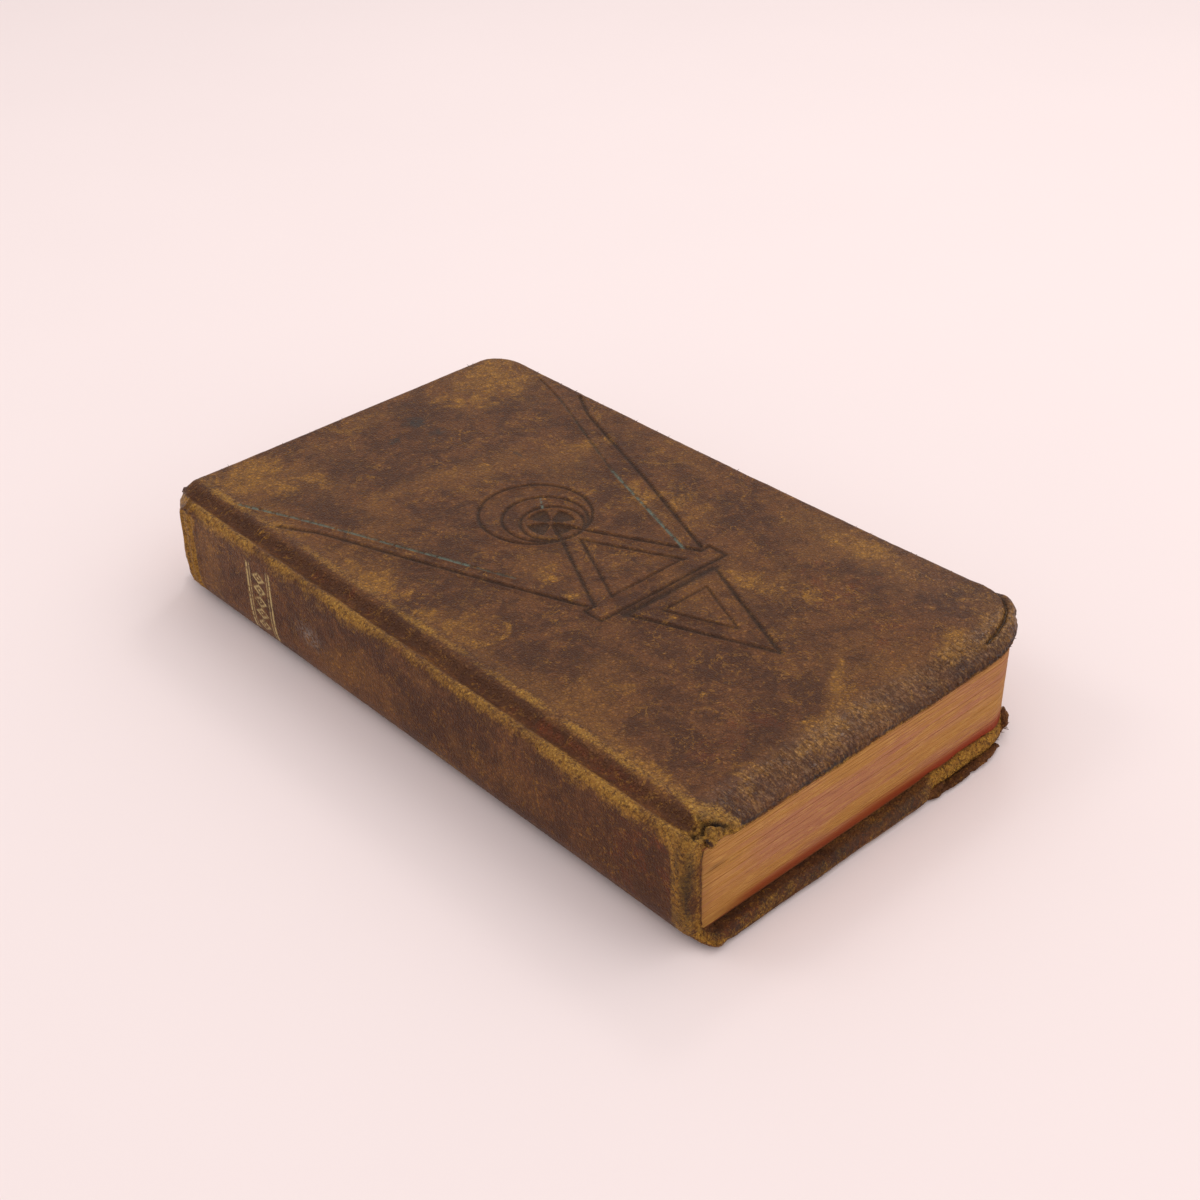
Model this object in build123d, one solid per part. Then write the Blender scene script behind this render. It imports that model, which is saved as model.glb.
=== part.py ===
from build123d import *
import os

# Antique pocket book in full leather, lying on its back cover.
# +Z is up, +Y points to the head, and the spine is on the -X side.
# The origin is on the table, under the middle of the closed book.
# All sizes are in millimetres.

# ---- Driving dimensions: the book as a whole ----
BOOK_WIDTH = 94.6          # spine face to the tip of the fore-edge
BOOK_HEIGHT = 157.0        # head to tail over the back cover
BOOK_THICKNESS = 24.0      # table to the top of the front cover

# ---- Covers ----
LEATHER_T = 0.9            # goatskin over the boards
BOARD_T = 1.4              # pasteboard
TURN_IN_T = 0.6            # pared leather folded over the board's inner face
TURN_IN_WIDTH = 9.0        # how far the folded leather reaches in from the edge
PASTEDOWN_T = 0.4          # paper inside the frame of turned-in leather
HEAD_FORE_RADIUS = 10.0    # cover corner at the head
TAIL_FORE_RADIUS = 12.0    # cover corner at the tail, worn rounder
JOINT_CORNER_RADIUS = 3.0  # cover corners beside the spine
COVER_EDGE_ROUND = 0.8     # worn rounding along the outside of the cover edges
FORE_INSET = 0.3           # the cover edge stops this far inside the corner lobes
FRONT_TAIL_INSET = 3.0     # the front cover has shrunk back at the tail
FRONT_TAIL_CURL = 1.2      # its tail edge curls this far down over the leaves
CURL_T = 1.0               # thickness of that curled lip
CORNER_LOBE_R = 3.4        # loosened turn-in lobes at the front tail corner
CORNER_LOBE_T = 0.8

# ---- Spine and joints ----
SPINE_LEATHER_T = 1.2
SPINE_INLAY_T = 1.2        # stiff card down the back
SPINE_LINING_T = 0.7       # kraft paper lining
SPINE_MULL_T = 0.5         # open cloth glued to the sections
SPINE_CAP_T = 1.3          # leather rolled over the head and tail of the spine
SPINE_INSET = 3.4          # the spine stops this far short of the covers' ends
SPINE_END_ROUND = 3.0      # rounding of the rolled caps
FRONT_ROLL_R = 2.4         # rounded shoulder beside the front joint
BACK_ROLL_R = 4.4          # rounded shoulder beside the back joint
JOINT_GAP = 0.3            # running gap between a shoulder and its cover
GROOVE_DEPTH = 1.3         # depth of the groove pressed along each joint
GROOVE_R = 3.0             # radius of the bone that pressed it

# ---- Leaves ----
LEAF_SQUARE_TAIL = 3.5     # how far the back cover stands out beyond the leaves
LEAF_SQUARE_HEAD = 3.5
LEAF_SQUARE_FORE = 3.8
LEAF_CORNER_RADIUS = 10.0
FLYLEAF_T = 0.2
LEAF_GAP = 0.3             # air between each cover and the flyleaf beside it

# ---- Torn corner of the back cover ----
FLAP_LENGTH = 20.0         # strip of leather peeled off the tail edge
FLAP_WIDTH = 3.2
FLAP_START_X = 13.0        # where the strip is still attached
FLAP_DROP = 0.8            # daylight between the strip and the bared board

# ---- Tooling pressed into the front cover ----
TOOL_WIDTH = 0.6
TOOL_DEPTH = 0.3
TOOL_AXIS_X = 2.7
RING_TANGENT_Y = 5.1       # the three rings touch here
RING_RADII = (11.7, 8.8, 6.6)
CROSS_REACH = 4.6          # four flared arms inside the smallest ring
CROSS_ROOT = 0.8
CROSS_ROOT_HALF = 0.4
CROSS_FLARE_HALF = 2.6
PEAK_Y = 10.9              # apex of the large triangle, inside the rings
TRIANGLE_BASE_Y = -16.0
TRIANGLE_HALF = 14.1
INNER_PEAK_Y = 3.1
INNER_HALF = 9.5
TABLET_Y = -20.4           # lower edge of the tablet under the large triangle
TABLET_HALF = 16.8
BAR_Y = -21.9              # thick bar over the downward triangle
BAR_HALF = 11.8
POINT_Y = -49.7            # tip of the downward triangle
SMALL_TOP_Y = -25.7
SMALL_HALF = 5.8
SMALL_POINT_Y = -39.4
RAY_HIGH_Y = 60.0          # two pairs of rays run down to the large triangle
RAY_HIGH_HALF = 40.5
RAY_HIGH_END = (13.5, -9.0)
RAY_LOW_Y = 47.5
RAY_LOW_HALF = 40.5

# ---- Worked out from the above ----
SPINE_X = -BOOK_WIDTH / 2
TIP_X = BOOK_WIDTH / 2
COVER_FORE_X = TIP_X - FORE_INSET
HEAD_Y = BOOK_HEIGHT / 2
TAIL_Y = -BOOK_HEIGHT / 2
FRONT_TAIL_Y = TAIL_Y + FRONT_TAIL_INSET
COVER_T = LEATHER_T + BOARD_T + TURN_IN_T
SPINE_DEPTH = SPINE_LEATHER_T + SPINE_INLAY_T + SPINE_LINING_T + SPINE_MULL_T
LEAF_X0 = SPINE_X + SPINE_DEPTH
LEAF_X1 = TIP_X - LEAF_SQUARE_FORE
LEAF_Y0 = TAIL_Y + LEAF_SQUARE_TAIL
LEAF_Y1 = HEAD_Y - LEAF_SQUARE_HEAD
BLOCK_Z0 = COVER_T + LEAF_GAP
BLOCK_Z1 = BOOK_THICKNESS - COVER_T - LEAF_GAP
SPINE_Y0 = TAIL_Y + SPINE_INSET
SPINE_Y1 = HEAD_Y - SPINE_INSET
FRONT_AXIS = (SPINE_X + FRONT_ROLL_R, BOOK_THICKNESS - FRONT_ROLL_R)
BACK_AXIS = (SPINE_X + BACK_ROLL_R, BACK_ROLL_R)


def box(x0, x1, y0, y1, z0, z1):
    """A plain box between two corners."""
    return Pos((x0 + x1) / 2, (y0 + y1) / 2, (z0 + z1) / 2) * Box(x1 - x0, y1 - y0, z1 - z0)


def rod(x, z, radius, y0, y1):
    """A cylinder lying along Y."""
    return Pos(x, (y0 + y1) / 2, z) * Rot(90, 0, 0) * Cylinder(radius, y1 - y0)


def slab(x0, x1, y0, y1, z0, z1, tail_fore, head_fore, joint):
    """A sheet with rounded corners: two radii at the fore-edge and one beside the spine."""
    plate = box(x0, x1, y0, y1, z0, z1)
    uprights = plate.edges().filter_by(Axis.Z)
    fore = uprights.group_by(Axis.X)[-1].sort_by(Axis.Y)
    plate = fillet(fore[0], tail_fore)
    plate = fillet(plate.edges().filter_by(Axis.Z).group_by(Axis.X)[-1].sort_by(Axis.Y)[-1], head_fore)
    if joint > 0:
        plate = fillet(plate.edges().filter_by(Axis.Z).group_by(Axis.X)[0], joint)
    return plate


def cover_parts(width, tail_y, roll_r):
    """Leather, board and pastedown of one cover, seen with its outer face up.

    X starts on the hinge line and Z=0 is the inner face.
    """
    # the groove's lowest line lies where the leather starts, clear of the shoulder
    # when the cover lies fully open beside the spine
    groove_x = roll_r + JOINT_GAP
    groove_half = (GROOVE_R ** 2 - (GROOVE_R - GROOVE_DEPTH) ** 2) ** 0.5
    board_x0 = groove_x + groove_half + LEATHER_T / 2
    bone_z = COVER_T + GROOVE_R - GROOVE_DEPTH
    long_y0, long_y1 = tail_y - 1, HEAD_Y + 1

    leather = slab(0, width, tail_y, HEAD_Y, 0, COVER_T, TAIL_FORE_RADIUS, HEAD_FORE_RADIUS, 0)
    outer = leather.faces().sort_by(Axis.Z)[-1].edges()
    leather = fillet([e for e in outer if e.center().X > 1], COVER_EDGE_ROUND)
    leather -= rod(groove_x, bone_z, GROOVE_R, long_y0, long_y1)
    # under the groove only the skin is left, following the same curve
    hollow = box(0, board_x0, long_y0, long_y1, 0, COVER_T - LEATHER_T)
    hollow -= rod(groove_x, bone_z, GROOVE_R + LEATHER_T, long_y0, long_y1)
    leather -= hollow
    leather &= slab(groove_x, width, tail_y, HEAD_Y, 0, COVER_T,
                    TAIL_FORE_RADIUS, HEAD_FORE_RADIUS, JOINT_CORNER_RADIUS)

    # the board fills a pocket, and the turned-in leather frames the pastedown
    edge = LEATHER_T
    board = slab(board_x0, width - edge, tail_y + edge, HEAD_Y - edge, TURN_IN_T, TURN_IN_T + BOARD_T,
                 TAIL_FORE_RADIUS - edge, HEAD_FORE_RADIUS - edge, 1.0)
    frame = TURN_IN_WIDTH
    window = slab(board_x0 - 1.0, width - frame, tail_y + frame, HEAD_Y - frame, 0, TURN_IN_T,
                  max(TAIL_FORE_RADIUS - frame, 1.0), max(HEAD_FORE_RADIUS - frame, 1.0), 0)
    leather -= board
    leather -= window
    paper = slab(board_x0 + 0.5, width - frame, tail_y + frame, HEAD_Y - frame,
                 TURN_IN_T - PASTEDOWN_T, TURN_IN_T,
                 max(TAIL_FORE_RADIUS - frame, 1.0), max(HEAD_FORE_RADIUS - frame, 1.0), 0)
    return leather, board, paper


def ring(radius, y):
    """A pressed circle as a thin pipe-shaped cutter."""
    cutter = Cylinder(radius + TOOL_WIDTH / 2, 2 * TOOL_DEPTH)
    cutter -= Cylinder(radius - TOOL_WIDTH / 2, 2 * TOOL_DEPTH)
    return Pos(TOOL_AXIS_X, y, BOOK_THICKNESS) * cutter


def stroke(x0, y0, x1, y1, width=TOOL_WIDTH):
    """A pressed straight line as a thin bar-shaped cutter."""
    run = Vector(x1 - x0, y1 - y0)
    angle = run.get_signed_angle(Vector(1, 0, 0), Vector(0, 0, -1))
    bar = Box(run.length, width, 2 * TOOL_DEPTH)
    return Pos((x0 + x1) / 2, (y0 + y1) / 2, BOOK_THICKNESS) * Rot(0, 0, angle) * bar


def cross():
    """Four flared arms pressed inside the smallest ring."""
    centre_y = RING_TANGENT_Y + RING_RADII[-1]
    arms = []
    for quarter in range(4):
        arm = Polygon((CROSS_ROOT, -CROSS_ROOT_HALF), (CROSS_REACH, -CROSS_FLARE_HALF),
                      (CROSS_REACH, CROSS_FLARE_HALF), (CROSS_ROOT, CROSS_ROOT_HALF), align=None)
        place = Pos(TOOL_AXIS_X, centre_y, BOOK_THICKNESS - TOOL_DEPTH) * Rot(0, 0, 90 * quarter)
        arms.append(place * extrude(arm, 2 * TOOL_DEPTH))
    return arms


def tooling():
    """Rings, cross, triangles and rays pressed blind into the front cover."""
    cuts = [ring(radius, RING_TANGENT_Y + radius) for radius in RING_RADII] + cross()
    x = TOOL_AXIS_X
    base, tablet = TRIANGLE_BASE_Y, TABLET_Y
    for side in (-1, 1):
        corner = x + side * TRIANGLE_HALF
        cuts.append(stroke(x, PEAK_Y, corner, base))
        cuts.append(stroke(x, INNER_PEAK_Y, x + side * INNER_HALF, base))
        cuts.append(stroke(x + side * BAR_HALF, BAR_Y, x, POINT_Y))
        cuts.append(stroke(x + side * SMALL_HALF, SMALL_TOP_Y, x, SMALL_POINT_Y))
        cuts.append(stroke(x + side * TABLET_HALF, tablet, x + side * TABLET_HALF, base))
        end_x, end_y = RAY_HIGH_END
        cuts.append(stroke(x + side * RAY_HIGH_HALF, RAY_HIGH_Y, x + side * end_x, end_y))
        cuts.append(stroke(x + side * RAY_LOW_HALF, RAY_LOW_Y, corner, base))
    cuts.append(stroke(x - TABLET_HALF, base, x + TABLET_HALF, base))
    cuts.append(stroke(x - TABLET_HALF, tablet, x + TABLET_HALF, tablet))
    cuts.append(stroke(x - BAR_HALF, BAR_Y, x + BAR_HALF, BAR_Y, 2 * TOOL_WIDTH))
    cuts.append(stroke(x - SMALL_HALF, SMALL_TOP_Y, x + SMALL_HALF, SMALL_TOP_Y))
    return cuts


def front_cover():
    """The front cover with its tooling, curled tail lip and loose corner lobes."""
    axis_x, axis_z = FRONT_AXIS
    width = COVER_FORE_X - axis_x
    inner_z = BOOK_THICKNESS - COVER_T
    leather, board, paper = cover_parts(width, FRONT_TAIL_Y, FRONT_ROLL_R)
    place = Pos(axis_x, 0, inner_z)
    leather, board, paper = place * leather, place * board, place * paper
    # the lip hangs just outside the leaves, between the two rounded corners
    lip_y1 = LEAF_Y0 - JOINT_GAP
    lip = box(LEAF_X0 + 6, COVER_FORE_X - TAIL_FORE_RADIUS, lip_y1 - CURL_T + 0.3, lip_y1,
              inner_z - FRONT_TAIL_CURL, inner_z + LEATHER_T)
    leather += lip
    # two lobes of loosened turn-in show outside the tail corner
    lobe_x = TIP_X - CORNER_LOBE_R
    lobe_y = FRONT_TAIL_Y + 0.7 * TAIL_FORE_RADIUS
    for step in (0, CORNER_LOBE_R):
        place = Pos(lobe_x - step, lobe_y - step, inner_z + CORNER_LOBE_T / 2)
        leather += place * Cylinder(CORNER_LOBE_R, CORNER_LOBE_T)
    leather -= board
    for cut in tooling():
        leather -= cut
    return leather, board, paper


def back_cover():
    """The back cover, with the strip of leather that has peeled from its tail edge."""
    axis_x = BACK_AXIS[0]
    width = COVER_FORE_X - axis_x
    leather, board, paper = cover_parts(width, TAIL_Y, BACK_ROLL_R)
    # turned outer face down: mirrored in Z so that the head stays at +Y
    place = Pos(axis_x, 0, COVER_T)
    flipped = [place * mirror(piece, Plane.XY) for piece in (leather, board, paper)]
    leather, board, paper = flipped
    # the bared stretch beside the corner, and the strip that hangs from it
    flap_x1 = FLAP_START_X + FLAP_LENGTH
    leather -= box(FLAP_START_X + 2, flap_x1, TAIL_Y - 1, TAIL_Y + FLAP_WIDTH, -1, LEATHER_T + FLAP_DROP)
    strip = box(FLAP_START_X, flap_x1, TAIL_Y, TAIL_Y + FLAP_WIDTH, 0, LEATHER_T)
    leather += strip
    leather -= board
    return leather, board, paper


def spine():
    """Spine leather with its rolled caps and shoulders, then the layers behind it."""
    (fx, fz), (bx, bz) = FRONT_AXIS, BACK_AXIS
    y0, y1 = SPINE_Y0, SPINE_Y1
    leather = box(SPINE_X, LEAF_X0, y0, y1, bz, fz)
    leather += rod(fx, fz, FRONT_ROLL_R, y0, y1)
    leather += rod(bx, bz, BACK_ROLL_R, y0, y1)
    leather -= box(LEAF_X0, LEAF_X1, y0 - 1, y1 + 1, BLOCK_Z0, BLOCK_Z1)
    # round the caps off at head and tail, then hollow the back for its layers
    far_x = BACK_AXIS[0] + BACK_ROLL_R + 1
    leather &= slab(SPINE_X, far_x, y0, y1, 0, BOOK_THICKNESS, 0.5, 0.5, SPINE_END_ROUND)
    cy0, cy1 = y0 + SPINE_CAP_T, y1 - SPINE_CAP_T
    x1 = SPINE_X + SPINE_LEATHER_T
    leather -= box(x1, LEAF_X0, cy0, cy1, BLOCK_Z0, BLOCK_Z1)
    layers = []
    for thickness in (SPINE_INLAY_T, SPINE_LINING_T, SPINE_MULL_T):
        layers.append(box(x1, x1 + thickness, cy0, cy1, BLOCK_Z0, BLOCK_Z1))
        x1 += thickness
    return [leather] + layers


def leaves():
    """The sewn leaves as one block, and the two flyleaves on its faces."""
    z0, z1 = BLOCK_Z0, BLOCK_Z1
    r = LEAF_CORNER_RADIUS
    levels = ((z0 + FLYLEAF_T, z1 - FLYLEAF_T), (z1 - FLYLEAF_T, z1), (z0, z0 + FLYLEAF_T))
    return [slab(LEAF_X0, LEAF_X1, LEAF_Y0, LEAF_Y1, low, high, r, r, 0) for low, high in levels]


def build():
    """Every piece of the book by name."""
    front_leather, front_board, front_pastedown = front_cover()
    back_leather, back_board, back_pastedown = back_cover()
    spine_leather, spine_inlay, spine_lining, spine_mull = spine()
    pages, front_flyleaf, back_flyleaf = leaves()
    return {
        "front_leather": front_leather,
        "front_board": front_board,
        "front_pastedown": front_pastedown,
        "spine_leather": spine_leather,
        "spine_inlay": spine_inlay,
        "spine_lining": spine_lining,
        "spine_mull": spine_mull,
        "pages": pages,
        "front_flyleaf": front_flyleaf,
        "back_flyleaf": back_flyleaf,
        "back_leather": back_leather,
        "back_board": back_board,
        "back_pastedown": back_pastedown,
    }


os.makedirs("parts", exist_ok=True)
for name, piece in build().items():
    export_step(piece, f"parts/{name}.step")
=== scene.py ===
"""Looks of an old pocket book in worn brown leather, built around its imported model.

Lengths are in millimetres inside this file and become metres when a mesh is made.
+X points to the fore-edge, +Y to the head of the book and +Z up through its front cover.
"""

import logging
import math
from dataclasses import dataclass, field
from enum import Enum

import bmesh
import bpy
import numpy as np
from bpy.types import Material, Node, NodeSocket, NodeTree, Object
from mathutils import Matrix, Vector


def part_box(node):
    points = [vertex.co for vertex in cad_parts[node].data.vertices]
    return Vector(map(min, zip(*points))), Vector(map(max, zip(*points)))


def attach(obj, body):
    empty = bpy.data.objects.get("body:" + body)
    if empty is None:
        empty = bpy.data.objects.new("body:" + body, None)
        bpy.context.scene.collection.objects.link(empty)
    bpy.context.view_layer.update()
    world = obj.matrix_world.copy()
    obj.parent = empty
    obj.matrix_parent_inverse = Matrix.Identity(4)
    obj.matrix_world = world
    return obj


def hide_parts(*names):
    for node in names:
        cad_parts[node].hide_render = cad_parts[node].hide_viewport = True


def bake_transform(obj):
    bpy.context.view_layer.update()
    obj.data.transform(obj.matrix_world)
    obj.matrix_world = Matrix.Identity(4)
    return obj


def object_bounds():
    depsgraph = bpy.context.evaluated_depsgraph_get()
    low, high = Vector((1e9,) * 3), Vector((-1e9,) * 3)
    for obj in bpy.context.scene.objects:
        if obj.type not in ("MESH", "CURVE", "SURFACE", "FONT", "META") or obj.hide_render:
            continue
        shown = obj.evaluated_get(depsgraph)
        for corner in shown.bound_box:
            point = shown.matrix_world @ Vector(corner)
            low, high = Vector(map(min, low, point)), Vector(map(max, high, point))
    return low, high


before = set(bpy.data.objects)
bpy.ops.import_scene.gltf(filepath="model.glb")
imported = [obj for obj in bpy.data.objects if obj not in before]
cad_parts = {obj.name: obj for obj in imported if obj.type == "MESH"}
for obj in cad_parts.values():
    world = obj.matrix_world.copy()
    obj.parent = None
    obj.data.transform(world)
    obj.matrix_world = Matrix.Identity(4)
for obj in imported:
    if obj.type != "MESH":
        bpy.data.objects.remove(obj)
CAD_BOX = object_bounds()

MM = 0.001  # one millimetre in metres
TINY = 1e-9  # keeps a division away from zero
FAR = 1e3  # a distance beyond every detail
SPAN_STEPS = 24  # points on each span of a cross-section
CAD_BOX_MM = tuple(np.array(corner) / MM for corner in CAD_BOX)
log = logging.getLogger("book")


class Body(Enum):
    """The three rigid bodies that the book's joints connect."""

    TEXT = "text_block"
    FRONT = "front_cover"
    BACK = "back_cover"


# ------------------------------------------------------------------ sizes

def node_box(node: str) -> tuple[np.ndarray, np.ndarray]:
    """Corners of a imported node.

    Args:
        node: name of the node.
    Returns:
        Its lowest and highest corner in millimetres.
    """
    low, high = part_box(node)
    return np.array(low) / MM, np.array(high) / MM


@dataclass(frozen=True)
class BookSizes:
    """Places that every piece is worked out from, in millimetres."""

    front_inner: float
    back_inner: float
    leaf_low: np.ndarray
    leaf_high: np.ndarray

    @classmethod
    def measured(cls, turn_in: float = 0.6) -> "BookSizes":
        """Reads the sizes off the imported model.

        Args:
            turn_in: thickness of the leather folded over a board's inner face.
        Returns:
            The sizes.
        """
        board_low, _ = node_box("front_board")
        _, back_high = node_box("back_leather")
        leaf_low, leaf_high = node_box("pages")
        return cls(front_inner=board_low[2] - turn_in, back_inner=back_high[2], leaf_low=leaf_low,
                   leaf_high=leaf_high)


# ------------------------------------------------------------------ noise

def hashed(ix: np.ndarray, iy: np.ndarray, iz: np.ndarray, seed: int) -> np.ndarray:
    """A fixed random number from -1 to 1 for each whole-numbered cell."""
    h = (ix.astype(np.int64) * 73856093) ^ (iy.astype(np.int64) * 19349663)
    h ^= (iz.astype(np.int64) * 83492791) ^ (seed * 2654435761)
    h = (h ^ (h >> 13)) * 1274126177 & 0xFFFFFFFF
    h = (h ^ (h >> 16)) * 668265263 & 0xFFFFFFFF
    return ((h ^ (h >> 15)) & 0xFFFFFF) / float(0x7FFFFF) - 1.0


def noise(points: np.ndarray, cell: float, seed: int) -> np.ndarray:
    """Smooth value noise.

    Args:
        points: positions, one row each.
        cell: size of one lump, in the positions' unit.
        seed: picks one of many patterns.
    Returns:
        One value from -1 to 1 per position.
    """
    q = np.asarray(points, float) / cell + 1000.0
    base = np.floor(q).astype(np.int64)
    f = q - base
    w = f * f * f * (f * (f * 6 - 15) + 10)
    total = np.zeros(len(q))
    for dx in (0, 1):
        wx = w[:, 0] if dx else 1 - w[:, 0]
        for dy in (0, 1):
            wy = w[:, 1] if dy else 1 - w[:, 1]
            for dz in (0, 1):
                wz = w[:, 2] if dz else 1 - w[:, 2]
                total += wx * wy * wz * hashed(base[:, 0] + dx, base[:, 1] + dy, base[:, 2] + dz, seed)
    return total


def rough(points: np.ndarray, cell: float, seed: int, octaves: int = 3) -> np.ndarray:
    """Several layers of noise, each half as large and half as strong."""
    total, gain = np.zeros(len(points)), 1.0
    for k in range(octaves):
        total += gain * noise(points, cell / 2 ** k, seed + 17 * k)
        gain *= 0.5
    return total / (2 - 0.5 ** (octaves - 1))


def smooth(value: np.ndarray, low: float, high: float) -> np.ndarray:
    """0 below low, 1 above high and a soft step between."""
    t = np.clip((value - low) / (high - low), 0, 1)
    return t * t * (3 - 2 * t)


def bell(value: np.ndarray, width: float) -> np.ndarray:
    """1 at zero, falling off softly over the given width."""
    return np.exp(-(value / width) ** 2)


# ------------------------------------------------------------------ mesh helpers

def new_piece(name: str, points: np.ndarray, faces: list, shade: bool = True) -> Object:
    """Makes an object from points in millimetres.

    Args:
        name: the piece's name.
        points: one row per vertex.
        faces: vertex numbers of each face, counter-clockwise from outside.
        shade: True for smooth shading.
    Returns:
        The object, at the origin.
    """
    mesh = bpy.data.meshes.new(name)
    mesh.from_pydata((np.asarray(points) * MM).tolist(), [], [list(map(int, f)) for f in faces])
    mesh.validate()
    mesh.update()
    mesh.shade_smooth() if shade else mesh.shade_flat()
    piece = bpy.data.objects.new(name, mesh)
    bpy.context.scene.collection.objects.link(piece)
    return piece


def positions(piece: Object) -> np.ndarray:
    """Vertex positions of a piece, in millimetres."""
    co = np.zeros(len(piece.data.vertices) * 3, np.float32)
    piece.data.vertices.foreach_get("co", co)
    return co.reshape(-1, 3).astype(float) / MM


def place_vertices(piece: Object, points: np.ndarray) -> None:
    """Moves the vertices of a piece to the given places, in millimetres."""
    piece.data.vertices.foreach_set("co", (points * MM).astype(np.float32).ravel())
    piece.data.update()


def normals(piece: Object) -> np.ndarray:
    """Vertex normals of a piece."""
    out = np.zeros(len(piece.data.vertices) * 3, np.float32)
    piece.data.vertices.foreach_get("normal", out)
    return out.reshape(-1, 3).astype(float)


def paint(piece: Object, name: str, values: np.ndarray) -> None:
    """Stores one number per vertex as an attribute that materials can read."""
    layer = piece.data.attributes.get(name) or piece.data.attributes.new(name, "FLOAT", "POINT")
    layer.data.foreach_set("value", np.asarray(values, np.float32))


# ------------------------------------------------------------------ tooling

@dataclass(frozen=True)
class Stroke:
    """A straight tool line from one point to another on the cover."""

    start: tuple[float, float]
    end: tuple[float, float]
    half_width: float = 0.42
    depth: float = 0.36
    verdigris: float = 0.0

    def distance(self, xy: np.ndarray) -> np.ndarray:
        """Distance from each point to the line."""
        a, b = np.array(self.start), np.array(self.end)
        t = np.clip(((xy - a) @ (b - a)) / ((b - a) @ (b - a)), 0, 1)
        return np.linalg.norm(xy - a - t[:, None] * (b - a), axis=1)


@dataclass(frozen=True)
class Ring:
    """A pressed circle."""

    centre: tuple[float, float]
    radius: float
    half_width: float = 0.36
    depth: float = 0.3
    verdigris: float = 0.0

    def distance(self, xy: np.ndarray) -> np.ndarray:
        """Distance from each point to the circle."""
        return np.abs(np.linalg.norm(xy - np.array(self.centre), axis=1) - self.radius)


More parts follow.
